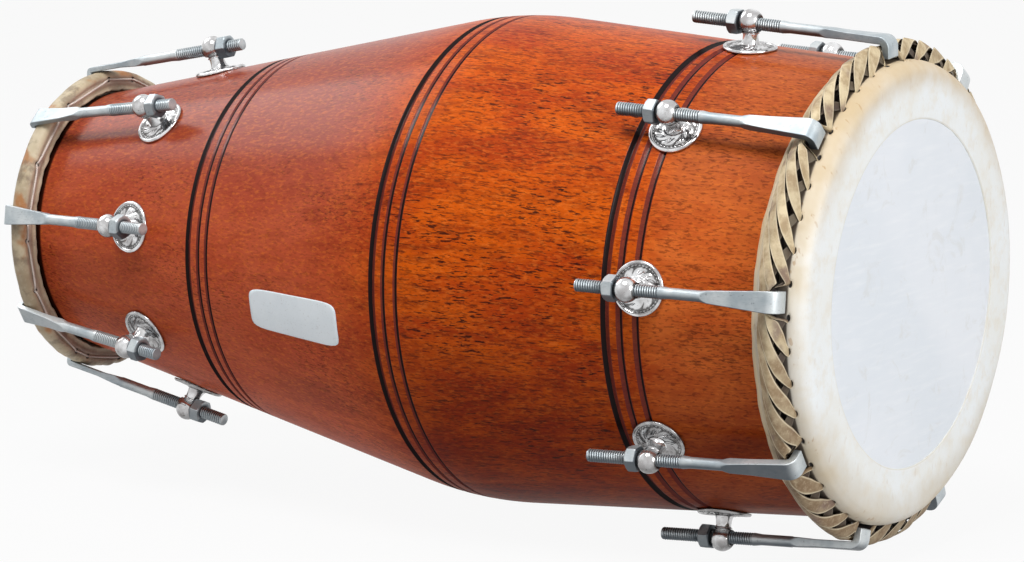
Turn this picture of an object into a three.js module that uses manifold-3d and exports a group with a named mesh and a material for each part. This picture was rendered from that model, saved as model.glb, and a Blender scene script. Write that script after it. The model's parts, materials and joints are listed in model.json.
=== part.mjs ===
// Naal drum: a turned wooden barrel with a braided bass head, a treble head stretched on an
// iron ring, and nine screw hooks round each end that pull the two heads tight.
// Millimetres. The origin is the centre of the bass playing face, +X leaves that face along
// the drum's axis and +Z is up. A depth is a distance behind the bass face, towards the treble.

import * as THREE from 'three';
import { mergeVertices } from 'three/addons/utils/BufferGeometryUtils.js';
import Module from 'manifold-3d';

const wasm = await Module();
wasm.setup();

// Clearances between pieces that touch on the real drum
const GAP = 0.3;
const HOOK_GAP = 0.5;
const CUT_OVERRUN = 2;

// Facets
const DRUM_SIDES = 36;
const LUG_SIDES = 8;
const ROD_SIDES = 8;
const BELLY_STEPS = 4;
const ROUNDING_STEPS = 2;
const BEND_STEPS = 2;

// Wooden shell
const SHELL_LENGTH = 480.6;
const WALL = 13.5;
const RIM_RADIUS = 108.6;
const RIM_ROUNDING = 6.2;
const RIM_STEP = 1.3;
const RIM_STEP_LENGTH = 1.6;
const BELLY_DEPTH = 220.8;
const BELLY_SWELL = 13.3;
const BELLY_BLEND = 175;
const TREBLE_RIM_RADIUS = 65.8;
const TREBLE_EDGE_BEVEL = 2;

// Turned grooves, in three bands of one wide groove and two narrow ones
const WIDE_GROOVE_WIDTH = 2.6;
const WIDE_GROOVE_DEPTH = 1.5;
const NARROW_GROOVE_WIDTH = 1.6;
const NARROW_GROOVE_DEPTH = 0.9;
const BASS_BAND_DEPTH = 102;
const BASS_BAND_SECOND = 7.5;
const BASS_BAND_THIRD = 16;
const BELLY_BAND_OFFSET = 8.3;
const BELLY_BAND_SECOND = 6.8;
const BELLY_BAND_THIRD = 14.2;
const TREBLE_BAND_INSET = 124.1;
const TREBLE_BAND_SECOND = 7.2;
const TREBLE_BAND_THIRD = 13;

// Bass skins
const HEAD_SKIN = 1;
const RIM_SKIN = 1.2;
const RIM_SKIN_PROUD = 0.8;
const BASS_WINDOW_RADIUS = 84;
const HEAD_SKIRT_LENGTH = 16.6;
const RIM_SKIRT_LENGTH = 19.6;

// Bass braid
const BRAID_FRONT_DEPTH = 11.7;
const BRAID_WIDTH = 13.6;
const BRAID_HEIGHT = 8.3;
const BRAID_CREST_SHARE = 0.28;
const BRAID_PLACE_SHARES = [0, 0.1, BRAID_CREST_SHARE, 0.65, 1];
const BRAID_HEIGHT_SHARES = [0.74, 0.93, 1, 0.82, 0.32];

// Treble head
const TREBLE_SKIN = 1.6;
const RING_ROD_RADIUS = 3.2;
const RING_CLEARANCE = 4.2;
const RING_SIDES = 8;
const FOLD_STEPS = 4;
const FOLD_EDGE_GAP = 0.9;
const TREBLE_WINDOW_RADIUS = 50;
const TREBLE_WINDOW_STEP = 0.6;
const PASTE_RADIUS = 37;
const PASTE_BEVEL = 6;
const PASTE_HEIGHT = 1.8;

// Screw hardware, nine sets round each end
const LUG_COUNT = 9;
const BASS_LUG_DEPTH = 84.4;
const TREBLE_LUG_INSET = 80.4;
const BASS_LUG_ANGLE = THREE.MathUtils.degToRad(4.5);
const TREBLE_LUG_ANGLE = THREE.MathUtils.degToRad(2.1);

// Lean of the posts towards the head, from the pull of the hooks
const BASS_POST_LEAN = 0;
const TREBLE_POST_LEAN = THREE.MathUtils.degToRad(8);

// Eye post, its plate and its stud. The ball's middle lies above the middle of its hole.
const HOLE_HEIGHT = 12.4;
const BALL_RISE = 1.5;
const BALL_RADIUS = 5.8;
const BALL_CROWN = 0.4;
const EYE_WIDTH = 9.8;
const POST_RADIUS = 4;
const PLATE_RADIUS = 13.25;
const PLATE_EDGE = 1;
const PLATE_BEAD = 1.7;
const PLATE_BEAD_WIDTH = 2.4;
const PLATE_DISH = 1.2;
const STUD_RADIUS = 3.2;
const BACKING_NUT_RADIUS = 6;
const BACKING_NUT_THICKNESS = 5;

// Hook rod, a quarter inch screw thread of twenty turns to the inch
const THREAD_RADIUS = 3.175;
const THREAD_BEVEL = 0.6;
const SHANK_RADIUS = 2.7;
const BLADE_WIDTH = 10.2;
const BLADE_TAPER_LENGTH = 14;
const BASS_THREAD_TAIL = 30;
const BASS_TAIL_SHARES = [1.03, 0.89, 0.88, 1.08, 1.09, 1, 0.95, 1.02, 0.98];
const BASS_THREAD_HEAD = 12.7;
const BASS_SHANK_END = 34;
const BASS_BLADE_THICKNESS = 3.8;
const BASS_BEND_RADIUS = 3.6;
const BASS_LIP_LENGTH = 6;
const TREBLE_THREAD_TAIL = 22;
const TREBLE_TAIL_SHARES = [0.87, 0.92, 1.14, 0.98, 1.12, 1, 1.05, 0.96, 1.03];
const TREBLE_THREAD_HEAD = 23;
const TREBLE_SHANK_END = 46;
const TREBLE_BLADE_THICKNESS = 2.8;
const TREBLE_BEND_RADIUS = 1.8;
const TREBLE_LIP_LENGTH = 1.8;
const TREBLE_SEAT_SHARE = 0.75;

// Hexagon nut
const NUT_ACROSS_FLATS = 11.1;
const NUT_THICKNESS = 5.6;

// Materials
const MATERIALS = {
  wood: new THREE.MeshStandardMaterial({ color: 0xa8431f, roughness: 0.3, metalness: 0 }),
  head: new THREE.MeshStandardMaterial({ color: 0xe6e6e8, roughness: 0.6, metalness: 0 }),
  rim: new THREE.MeshStandardMaterial({ color: 0xdcd2bd, roughness: 0.65, metalness: 0 }),
  braid: new THREE.MeshStandardMaterial({ color: 0x9b8768, roughness: 0.7, metalness: 0 }),
  treble: new THREE.MeshStandardMaterial({ color: 0xb9a98c, roughness: 0.65, metalness: 0 }),
  iron: new THREE.MeshStandardMaterial({ color: 0x3c3a38, roughness: 0.6, metalness: 0.9 }),
  zinc: new THREE.MeshStandardMaterial({ color: 0xa9b4bb, roughness: 0.35, metalness: 1 }),
  nickel: new THREE.MeshStandardMaterial({ color: 0xcfd0d3, roughness: 0.15, metalness: 1 }),
};

const QUARTER_TURN = Math.PI / 2;

// Gives a shape shared vertices, no collapsed triangles and faces that point outwards
function tidied(geometry) {
  const bare = geometry.clone();
  bare.deleteAttribute('normal');
  bare.deleteAttribute('uv');
  const merged = mergeVertices(bare);
  const spots = merged.attributes.position;
  const corner = [new THREE.Vector3(), new THREE.Vector3(), new THREE.Vector3()];
  const kept = [];
  let volume = 0;
  for (let i = 0; i < merged.index.count; i += 3) {
    const trio = [0, 1, 2].map((k) => merged.index.getX(i + k));
    if (new Set(trio).size < 3) continue;
    trio.forEach((index, k) => corner[k].fromBufferAttribute(spots, index));
    volume += corner[0].dot(corner[1].clone().cross(corner[2]));
    kept.push(trio);
  }
  const facing = volume < 0 ? kept.map((trio) => trio.reverse()) : kept;
  const solid = new THREE.BufferGeometry();
  solid.setAttribute('position', spots.clone());
  solid.setIndex(facing.flat());
  return solid;
}

// Turns a shape into a solid that can be joined and cut
function solidOf(geometry) {
  const closed = tidied(geometry);
  return new wasm.Manifold(new wasm.Mesh({
    numProp: 3,
    vertProperties: new Float32Array(closed.attributes.position.array),
    triVerts: new Uint32Array(closed.index.array),
  }));
}

// Turns a joined or cut solid back into a shape
function shapeOf(solid) {
  const mesh = solid.getMesh();
  const shape = new THREE.BufferGeometry();
  shape.setAttribute('position', new THREE.BufferAttribute(new Float32Array(mesh.vertProperties), 3));
  shape.setIndex(new THREE.BufferAttribute(new Uint32Array(mesh.triVerts), 1));
  return shape;
}

// The radius whose polygon of so many sides still clears a round of the given radius
function clearingRadius(radius, sides) {
  return radius / Math.cos(Math.PI / sides);
}

// A body turned on the drum's axis, from an outline of [depth, radius] points
function turnedOnDrum(outline) {
  const points = outline.map(([depth, radius]) => new THREE.Vector2(radius, -depth));
  const body = new THREE.LatheGeometry(points, DRUM_SIDES, BASS_LUG_ANGLE);
  return tidied(body.rotateZ(-QUARTER_TURN));
}

// Points of a rounding from one angle to another, where angle 0 faces outwards from the axis
// and a quarter turn faces the bass
function rounding(depth, radius, size, from, to, steps) {
  const points = [];
  for (let i = 0; i <= steps; i += 1) {
    const angle = from + ((to - from) * i) / steps;
    points.push([depth - size * Math.sin(angle), radius + size * Math.cos(angle)]);
  }
  return points;
}

// Depths of the layers at the bass rim, each lying on the next one
const rimSkinTop = -RIM_SKIN_PROUD;
const rimSkinUnder = rimSkinTop + RIM_SKIN;
const headSkinTop = rimSkinUnder + GAP;
const headSkinUnder = headSkinTop + HEAD_SKIN;
const bassEdge = headSkinUnder + GAP;
const trebleEdge = bassEdge + SHELL_LENGTH;

// Radii of the same layers round the rim
const headSkirtInside = RIM_RADIUS + GAP;
const headSkirtOutside = headSkirtInside + HEAD_SKIN;
const rimSkirtInside = headSkirtOutside + GAP;
const rimSkirtOutside = rimSkirtInside + RIM_SKIN;

// The roundings of all layers share one centre
const edgeCentreDepth = bassEdge + RIM_ROUNDING;
const edgeCentreRadius = RIM_RADIUS - RIM_ROUNDING;
const headSkirtEnd = edgeCentreDepth + HEAD_SKIRT_LENGTH;
const rimSkirtEnd = edgeCentreDepth + RIM_SKIRT_LENGTH;

// Outer line of the wood: a gentle rise, a rounded belly, then a straight cone
const bassWood = new THREE.Vector2(rimSkirtEnd + GAP, RIM_RADIUS + RIM_STEP);
const belly = new THREE.Vector2(BELLY_DEPTH, bassWood.y + BELLY_SWELL);
const trebleWood = new THREE.Vector2(trebleEdge, TREBLE_RIM_RADIUS);
const towardsBass = bassWood.clone().sub(belly).normalize();
const towardsTreble = trebleWood.clone().sub(belly).normalize();
const halfOpening = Math.acos(towardsBass.dot(towardsTreble)) / 2;
const blendReach = BELLY_BLEND / Math.tan(halfOpening);
const blendStart = belly.clone().addScaledVector(towardsBass, blendReach);
const blendEnd = belly.clone().addScaledVector(towardsTreble, blendReach);
const blendCentre = towardsBass.clone().add(towardsTreble).normalize()
  .multiplyScalar(BELLY_BLEND / Math.sin(halfOpening)).add(belly);

// Rise of a straight line through two [depth, radius] points, read at a depth
function onLine(a, b, depth) {
  return a.y + ((b.y - a.y) * (depth - a.x)) / (b.x - a.x);
}

// Radius of the wood's outside at a depth
function woodRadius(depth) {
  if (depth <= blendStart.x) return onLine(bassWood, belly, depth);
  if (depth >= blendEnd.x) return onLine(belly, trebleWood, depth);
  return blendCentre.y + Math.sqrt(BELLY_BLEND ** 2 - (depth - blendCentre.x) ** 2);
}

// The nine grooves as [depth of the middle, width, depth of the cut]
function grooveBand(depth, second, third) {
  return [
    [depth - third, NARROW_GROOVE_WIDTH, NARROW_GROOVE_DEPTH],
    [depth - second, NARROW_GROOVE_WIDTH, NARROW_GROOVE_DEPTH],
    [depth, WIDE_GROOVE_WIDTH, WIDE_GROOVE_DEPTH],
  ];
}

const grooves = [
  ...grooveBand(BASS_BAND_DEPTH, BASS_BAND_SECOND, BASS_BAND_THIRD),
  ...grooveBand(BELLY_DEPTH + BELLY_BAND_OFFSET, BELLY_BAND_SECOND, BELLY_BAND_THIRD),
  ...grooveBand(trebleEdge - TREBLE_BAND_INSET, TREBLE_BAND_SECOND, TREBLE_BAND_THIRD),
];

// Outer surface points between the bass seat and the treble edge
function woodSurface() {
  const points = [[bassWood.x, bassWood.y]];
  for (const [middle, width, cut] of grooves) {
    const half = width / 2;
    points.push([middle - half, woodRadius(middle - half)]);
    points.push([middle, woodRadius(middle) - cut]);
    points.push([middle + half, woodRadius(middle + half)]);
  }
  for (let i = 0; i <= BELLY_STEPS; i += 1) {
    const depth = blendStart.x + ((blendEnd.x - blendStart.x) * i) / BELLY_STEPS;
    const clear = grooves.every(([middle, width]) => Math.abs(depth - middle) > width);
    if (clear) points.push([depth, woodRadius(depth)]);
  }
  return points.sort((a, b) => a[0] - b[0]);
}

// The two rings of screw hardware. Tilt is the slope of the wood under the post, and side is
// the end that the hooks point to.
function lugRing(name, depth, tiltLine, side, angle, postLean) {
  const tilt = Math.atan(Math.abs((tiltLine[1].y - tiltLine[0].y) / (tiltLine[1].x - tiltLine[0].x)));
  const postTilt = tilt + postLean;
  return {
    name,
    angle,
    side,
    tilt,
    postTilt,
    footDepth: depth,
    footRadius: woodRadius(depth),
    eyeDepth: depth - side * HOLE_HEIGHT * Math.sin(postTilt),
    eyeRadius: woodRadius(depth) + HOLE_HEIGHT * Math.cos(postTilt),
  };
}

const bassLugs = lugRing('bass', BASS_LUG_DEPTH, [bassWood, belly], 1, BASS_LUG_ANGLE, BASS_POST_LEAN);
const trebleLugs = lugRing(
  'treble', trebleEdge - TREBLE_LUG_INSET, [belly, trebleWood], -1, TREBLE_LUG_ANGLE, TREBLE_POST_LEAN,
);

// Angle of each set round the drum
function lugAngle(ring, index) {
  return ring.angle + (index * 2 * Math.PI) / LUG_COUNT;
}

// Sets a frame at an eye: its +X points out to the drum's end, its +Z away from the axis
function eyeFrame(ring, index) {
  const round = new THREE.Group();
  round.rotation.x = lugAngle(ring, index);
  const eye = new THREE.Group();
  eye.position.set(-ring.eyeDepth, 0, ring.eyeRadius);
  eye.rotation.z = ring.side > 0 ? 0 : Math.PI;
  round.add(eye);
  return { round, eye };
}

// Wooden shell with its stud holes
function shellShape() {
  const outline = [
    [bassEdge, onLine(bassWood, belly, bassEdge) - WALL],
    ...rounding(edgeCentreDepth, edgeCentreRadius, RIM_ROUNDING, QUARTER_TURN, 0, ROUNDING_STEPS),
    [bassWood.x - RIM_STEP_LENGTH, RIM_RADIUS],
    ...woodSurface(),
    [trebleEdge - TREBLE_EDGE_BEVEL, woodRadius(trebleEdge - TREBLE_EDGE_BEVEL)],
    [trebleEdge, TREBLE_RIM_RADIUS - TREBLE_EDGE_BEVEL],
    [trebleEdge, TREBLE_RIM_RADIUS - WALL],
    [belly.x, belly.y - WALL],
  ];
  let wood = solidOf(turnedOnDrum([...outline, outline[0]]));
  const holeRadius = clearingRadius(STUD_RADIUS + GAP, LUG_SIDES);
  for (const ring of [bassLugs, trebleLugs]) {
    for (let i = 0; i < LUG_COUNT; i += 1) {
      const drill = new THREE.CylinderGeometry(holeRadius, holeRadius, 2 * WALL + CUT_OVERRUN, LUG_SIDES);
      drill.rotateX(QUARTER_TURN);
      drill.rotateY(ring.side * ring.tilt);
      drill.translate(-ring.footDepth, 0, ring.footRadius);
      drill.rotateX(lugAngle(ring, i));
      wood = wood.subtract(solidOf(drill));
    }
  }
  return shapeOf(wood);
}

// Plain playing skin of the bass, dished down under the rim skin and folded over the edge
function bassHeadShape() {
  const centre = [edgeCentreDepth, edgeCentreRadius];
  const outside = headSkirtOutside - edgeCentreRadius;
  const inside = headSkirtInside - edgeCentreRadius;
  const shown = BASS_WINDOW_RADIUS - GAP;
  return turnedOnDrum([
    [0, 0],
    [0, shown],
    [headSkinTop, shown],
    ...rounding(...centre, outside, QUARTER_TURN, 0, ROUNDING_STEPS),
    [headSkirtEnd, headSkirtOutside],
    [headSkirtEnd, headSkirtInside],
    ...rounding(...centre, inside, 0, QUARTER_TURN, ROUNDING_STEPS),
    [headSkinUnder, 0],
  ]);
}

// Ring-shaped second skin over the border of the first
function bassRimSkinShape() {
  const centre = [edgeCentreDepth, edgeCentreRadius];
  const outline = [
    [rimSkinTop, BASS_WINDOW_RADIUS],
    ...rounding(...centre, rimSkirtOutside - edgeCentreRadius, QUARTER_TURN, 0, ROUNDING_STEPS),
    [rimSkirtEnd, rimSkirtOutside],
    [rimSkirtEnd, rimSkirtInside],
    ...rounding(...centre, rimSkirtInside - edgeCentreRadius, 0, QUARTER_TURN, ROUNDING_STEPS),
    [rimSkinUnder, BASS_WINDOW_RADIUS],
  ];
  return turnedOnDrum([...outline, outline[0]]);
}

// Braid laced round the bass rim, as a crowned ring
const braidInside = rimSkirtOutside + GAP;
const braidCrestDepth = BRAID_FRONT_DEPTH + BRAID_CREST_SHARE * BRAID_WIDTH;
const braidCrestRadius = braidInside + BRAID_HEIGHT;

function bassBraidShape() {
  const crown = BRAID_PLACE_SHARES.map((place, i) => [
    BRAID_FRONT_DEPTH + place * BRAID_WIDTH,
    braidInside + BRAID_HEIGHT_SHARES[i] * BRAID_HEIGHT,
  ]);
  const outline = [
    [BRAID_FRONT_DEPTH, braidInside],
    ...crown,
    [BRAID_FRONT_DEPTH + BRAID_WIDTH, braidInside],
  ];
  return turnedOnDrum([...outline, outline[0]]);
}

// Treble head: the skin lies on the wood's edge and folds round the ring
const trebleSkinUnder = trebleEdge + GAP;
const trebleFace = trebleSkinUnder + TREBLE_SKIN;
const ringDepth = trebleEdge - RING_ROD_RADIUS;
const ringRadius = woodRadius(ringDepth) + RING_CLEARANCE + RING_ROD_RADIUS;
const foldInside = RING_ROD_RADIUS + GAP;
const foldOutside = foldInside + TREBLE_SKIN;

function trebleHeadShape() {
  const windowFace = trebleFace - TREBLE_WINDOW_STEP;
  const foldEdgeRadius = woodRadius(ringDepth - foldOutside) + FOLD_EDGE_GAP;
  return turnedOnDrum([
    [windowFace + PASTE_HEIGHT, 0],
    [windowFace + PASTE_HEIGHT, PASTE_RADIUS - PASTE_BEVEL],
    [windowFace, PASTE_RADIUS],
    [windowFace, TREBLE_WINDOW_RADIUS],
    [trebleFace, TREBLE_WINDOW_RADIUS],
    ...rounding(ringDepth, ringRadius, foldOutside, -QUARTER_TURN, QUARTER_TURN, FOLD_STEPS),
    [ringDepth - foldOutside, foldEdgeRadius],
    [ringDepth - foldInside, foldEdgeRadius],
    ...rounding(ringDepth, ringRadius, foldInside, QUARTER_TURN, -QUARTER_TURN, FOLD_STEPS),
    [trebleSkinUnder, 0],
  ]);
}

// Iron ring inside the fold
function trebleRingShape() {
  const outline = rounding(ringDepth, ringRadius, RING_ROD_RADIUS, 0, 2 * Math.PI, RING_SIDES);
  return turnedOnDrum(outline);
}

// A body turned on its own +Z, from an outline of [radius, height] points
function turnedUpright(outline, sides) {
  const points = outline.map(([radius, height]) => new THREE.Vector2(radius, height));
  return new THREE.LatheGeometry(points, sides).rotateX(QUARTER_TURN);
}

// Eye post, plate, stud and backing nut, about the middle of the hole. +Z is the post's axis
function lugShape(ring, rodTilt) {
  const plateTop = GAP + PLATE_EDGE;
  const facetDrop = BACKING_NUT_RADIUS * Math.tan((1.5 * Math.PI) / DRUM_SIDES);
  const nutTop = -WALL * Math.cos(ring.tilt) - GAP - facetDrop;
  const base = turnedUpright([
    [0, nutTop - BACKING_NUT_THICKNESS],
    [BACKING_NUT_RADIUS, nutTop - BACKING_NUT_THICKNESS],
    [BACKING_NUT_RADIUS, nutTop],
    [STUD_RADIUS, nutTop],
    [STUD_RADIUS, GAP],
    [PLATE_RADIUS, GAP],
    [PLATE_RADIUS, plateTop],
    [PLATE_RADIUS - PLATE_BEAD_WIDTH / 2, GAP + PLATE_BEAD],
    [PLATE_RADIUS - PLATE_BEAD_WIDTH, plateTop],
    [POST_RADIUS, plateTop + PLATE_DISH],
    [0, plateTop + PLATE_DISH],
  ], LUG_SIDES);
  base.rotateY(ring.tilt - ring.postTilt);
  base.translate(0, 0, -HOLE_HEIGHT);

  const post = turnedUpright([
    [0, plateTop - HOLE_HEIGHT],
    [POST_RADIUS, plateTop - HOLE_HEIGHT],
    [POST_RADIUS, BALL_RISE - Math.sqrt(BALL_RADIUS ** 2 - POST_RADIUS ** 2)],
    [BALL_RADIUS * Math.cos(Math.PI / 8), BALL_RISE - BALL_RADIUS * Math.sin(Math.PI / 8)],
    [BALL_RADIUS * Math.cos(Math.PI / 8), BALL_RISE + BALL_RADIUS * Math.sin(Math.PI / 8)],
    [BALL_RADIUS * Math.sin(Math.PI / 6), BALL_RISE + BALL_RADIUS * Math.cos(Math.PI / 6)],
    [0, BALL_RISE + BALL_RADIUS - BALL_CROWN],
  ], LUG_SIDES);

  // The bore and the two flats follow the hook's rod, which leans less or more than the post
  const lean = rodTilt - ring.postTilt;
  const boreRadius = clearingRadius(THREAD_RADIUS + GAP, LUG_SIDES);
  const bore = new THREE.CylinderGeometry(
    boreRadius, boreRadius, 2 * BALL_RADIUS + CUT_OVERRUN, LUG_SIDES,
  );
  bore.rotateZ(QUARTER_TURN);
  bore.rotateY(lean);
  let lug = solidOf(base).add(solidOf(post)).subtract(solidOf(bore));
  for (const end of [-1, 1]) {
    const flat = new THREE.BoxGeometry(BALL_RADIUS, 2 * BALL_RADIUS, 2 * BALL_RADIUS);
    flat.translate((end * (EYE_WIDTH + BALL_RADIUS)) / 2, 0, BALL_RISE);
    flat.rotateY(lean);
    lug = lug.subtract(solidOf(flat));
  }
  return shapeOf(lug);
}

// Hook, about the middle of its eye's hole. +X runs along the rod to the drum's end and +Z is
// its back. The blade's lip turns in until it lies parallel to the head.
function hookShape(rod, tail) {
  const profile = [
    [0, -tail],
    [THREAD_RADIUS - THREAD_BEVEL, -tail],
    [THREAD_RADIUS, -tail + THREAD_BEVEL],
    [THREAD_RADIUS, rod.head],
    [SHANK_RADIUS, rod.head + THREAD_BEVEL],
    [SHANK_RADIUS, rod.shankEnd + THREAD_BEVEL],
    [0, rod.shankEnd + THREAD_BEVEL],
  ];
  const points = profile.map(([radius, along]) => new THREE.Vector2(radius, along));
  const shank = new THREE.LatheGeometry(points, ROD_SIDES);
  shank.rotateZ(-QUARTER_TURN);

  // Side view of the blade: a wedge off the shank, a straight strip, a bend and the lip
  const root = SHANK_RADIUS * Math.cos(Math.PI / ROD_SIDES);
  const half = rod.thickness / 2;
  const lipRun = new THREE.Vector2(Math.sin(rod.tilt), -Math.cos(rod.tilt)).multiplyScalar(rod.lipLength);
  const outer = [];
  const inner = [];
  for (let i = 0; i <= BEND_STEPS; i += 1) {
    const angle = QUARTER_TURN + ((rod.tilt - QUARTER_TURN) * i) / BEND_STEPS;
    const ray = new THREE.Vector2(Math.cos(angle), Math.sin(angle));
    const centre = new THREE.Vector2(rod.bendStart, -rod.bendRadius);
    outer.push(centre.clone().addScaledVector(ray, rod.bendRadius + half));
    inner.push(centre.clone().addScaledVector(ray, rod.bendRadius - half));
  }
  const side = new THREE.Shape([
    new THREE.Vector2(rod.shankEnd, -root),
    new THREE.Vector2(rod.shankEnd + BLADE_TAPER_LENGTH, -half),
    ...inner,
    inner[BEND_STEPS].clone().add(lipRun),
    outer[BEND_STEPS].clone().add(lipRun),
    ...outer.reverse(),
    new THREE.Vector2(rod.shankEnd + BLADE_TAPER_LENGTH, half),
    new THREE.Vector2(rod.shankEnd, root),
  ]);
  const strip = new THREE.ExtrudeGeometry(side, { depth: BLADE_WIDTH, bevelEnabled: false });
  strip.translate(0, 0, -BLADE_WIDTH / 2);
  strip.rotateX(QUARTER_TURN);

  // Plan view of the blade, widening to the bend
  const wide = BLADE_WIDTH / 2;
  const reach = rod.bendStart + rod.bendRadius + rod.thickness + rod.lipLength;
  const plan = new THREE.Shape([
    new THREE.Vector2(rod.shankEnd, -root),
    new THREE.Vector2(rod.bendStart, -wide),
    new THREE.Vector2(reach, -wide),
    new THREE.Vector2(reach, wide),
    new THREE.Vector2(rod.bendStart, wide),
    new THREE.Vector2(rod.shankEnd, root),
  ]);
  const height = 2 * (rod.lipLength + rod.bendRadius + rod.thickness + root);
  const board = new THREE.ExtrudeGeometry(plan, { depth: height, bevelEnabled: false });
  board.translate(0, 0, -height / 2);
  return shapeOf(solidOf(strip).intersect(solidOf(board)).add(solidOf(shank)));
}

// Hexagon nut on the rod's axis, against the eye's inner flat
function nutShape() {
  const hexagon = new THREE.Shape();
  const hole = new THREE.Path();
  const cornerRadius = clearingRadius(NUT_ACROSS_FLATS / 2, 6);
  const holeRadius = clearingRadius(THREAD_RADIUS + GAP, ROD_SIDES);
  hexagon.setFromPoints(ringOfPoints(cornerRadius, 6));
  hole.setFromPoints(ringOfPoints(holeRadius, ROD_SIDES));
  hexagon.holes.push(hole);
  const nut = new THREE.ExtrudeGeometry(hexagon, { depth: NUT_THICKNESS, bevelEnabled: false });
  nut.rotateY(-QUARTER_TURN);
  nut.translate(-(EYE_WIDTH / 2 + GAP), 0, 0);
  return tidied(nut);
}

// Corners of a regular polygon
function ringOfPoints(radius, sides) {
  const points = [];
  for (let i = 0; i < sides; i += 1) {
    const angle = (2 * Math.PI * i) / sides;
    points.push(new THREE.Vector2(radius * Math.cos(angle), radius * Math.sin(angle)));
  }
  return points;
}

// A hook's rod leans from its eye so that the blade just clears a round edge of the head,
// and its lip lies just beyond the seat that it pulls on
function rodOf(ring, edge, seatDepth, sizes) {
  const outward = ring.side * (ring.eyeDepth - edge.depth);
  const inward = ring.eyeRadius - edge.radius;
  const clear = edge.size + HOOK_GAP + sizes.thickness / 2;
  const tilt = Math.atan2(inward, outward) - Math.asin(clear / Math.hypot(inward, outward));
  const lipMiddle = ring.side * (ring.eyeDepth - seatDepth) + HOOK_GAP + sizes.thickness / 2;
  const bendStart = (lipMiddle - sizes.bendRadius * (1 - Math.sin(tilt))) / Math.cos(tilt);
  return { ...sizes, tilt, bendStart };
}

const bassRod = rodOf(
  bassLugs,
  { depth: braidCrestDepth, radius: braidCrestRadius, size: 0 },
  BRAID_FRONT_DEPTH,
  {
    tails: BASS_TAIL_SHARES.map((share) => share * BASS_THREAD_TAIL),
    head: BASS_THREAD_HEAD,
    shankEnd: BASS_SHANK_END,
    thickness: BASS_BLADE_THICKNESS,
    bendRadius: BASS_BEND_RADIUS,
    lipLength: BASS_LIP_LENGTH,
  },
);
const trebleRod = rodOf(
  trebleLugs,
  { depth: ringDepth, radius: ringRadius, size: foldOutside },
  ringDepth + TREBLE_SEAT_SHARE * foldOutside,
  {
    tails: TREBLE_TAIL_SHARES.map((share) => share * TREBLE_THREAD_TAIL),
    head: TREBLE_THREAD_HEAD,
    shankEnd: TREBLE_SHANK_END,
    thickness: TREBLE_BLADE_THICKNESS,
    bendRadius: TREBLE_BEND_RADIUS,
    lipLength: TREBLE_LIP_LENGTH,
  },
);

// Puts the named pieces together
const drum = new THREE.Group();

function addPiece(parent, name, shape, material) {
  const piece = new THREE.Mesh(shape, material);
  piece.name = name;
  parent.add(piece);
  return piece;
}

addPiece(drum, 'shell', shellShape(), MATERIALS.wood);
addPiece(drum, 'bass_head_skin', bassHeadShape(), MATERIALS.head);
addPiece(drum, 'bass_rim_skin', bassRimSkinShape(), MATERIALS.rim);
addPiece(drum, 'bass_braid', bassBraidShape(), MATERIALS.braid);
addPiece(drum, 'treble_head_skin', trebleHeadShape(), MATERIALS.treble);
addPiece(drum, 'treble_iron_ring', trebleRingShape(), MATERIALS.iron);

function addHardware(ring, rod) {
  const lug = lugShape(ring, rod.tilt);
  const nut = nutShape();
  for (let i = 0; i < LUG_COUNT; i += 1) {
    const { round, eye } = eyeFrame(ring, i);
    drum.add(round);
    const post = addPiece(eye, `${ring.name}_lug_${i + 1}`, lug, MATERIALS.nickel);
    post.rotation.y = ring.postTilt;
    const line = new THREE.Group();
    line.rotation.y = rod.tilt;
    eye.add(line);
    addPiece(line, `${ring.name}_hook_${i + 1}`, hookShape(rod, rod.tails[i]), MATERIALS.zinc);
    addPiece(line, `${ring.name}_nut_${i + 1}`, nut, MATERIALS.zinc);
  }
}

addHardware(bassLugs, bassRod);
addHardware(trebleLugs, trebleRod);

export default drum;
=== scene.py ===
import json

import bmesh
import bpy
import numpy as np
from mathutils import Matrix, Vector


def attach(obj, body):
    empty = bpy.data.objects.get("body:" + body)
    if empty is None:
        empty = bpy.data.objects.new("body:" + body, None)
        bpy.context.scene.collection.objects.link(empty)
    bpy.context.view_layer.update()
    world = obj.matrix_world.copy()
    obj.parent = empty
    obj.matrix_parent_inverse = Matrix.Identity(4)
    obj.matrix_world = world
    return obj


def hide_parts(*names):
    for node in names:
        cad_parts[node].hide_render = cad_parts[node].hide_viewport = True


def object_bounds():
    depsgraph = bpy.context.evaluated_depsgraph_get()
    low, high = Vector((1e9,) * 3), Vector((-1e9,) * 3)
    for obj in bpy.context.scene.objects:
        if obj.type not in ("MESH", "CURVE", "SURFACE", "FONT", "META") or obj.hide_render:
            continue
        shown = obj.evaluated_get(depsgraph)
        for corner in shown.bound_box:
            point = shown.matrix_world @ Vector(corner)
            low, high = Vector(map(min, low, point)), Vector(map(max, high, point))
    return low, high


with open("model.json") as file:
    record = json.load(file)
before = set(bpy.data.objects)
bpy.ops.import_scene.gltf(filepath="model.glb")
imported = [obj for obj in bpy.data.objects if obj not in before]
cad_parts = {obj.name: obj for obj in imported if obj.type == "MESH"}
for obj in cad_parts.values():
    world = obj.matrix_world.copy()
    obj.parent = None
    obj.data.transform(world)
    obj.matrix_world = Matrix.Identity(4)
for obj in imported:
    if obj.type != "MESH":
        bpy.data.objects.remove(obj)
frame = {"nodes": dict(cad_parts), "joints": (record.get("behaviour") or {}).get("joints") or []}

# Camera, floor and light. The photograph looks at the drum from the right of its bass head
# and a little above, through a long lens, in front of plain white.
cad_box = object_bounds()
MM = 0.001
PHOTO_WIDTH = 1024
FOCAL_PIXELS = 4270
SENSOR = 36
CAMERA_PLACE = (0.9037, -1.7991, 0.3235)
CAMERA_RIGHT = (0.8471, 0.5314, 0.0)
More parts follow.
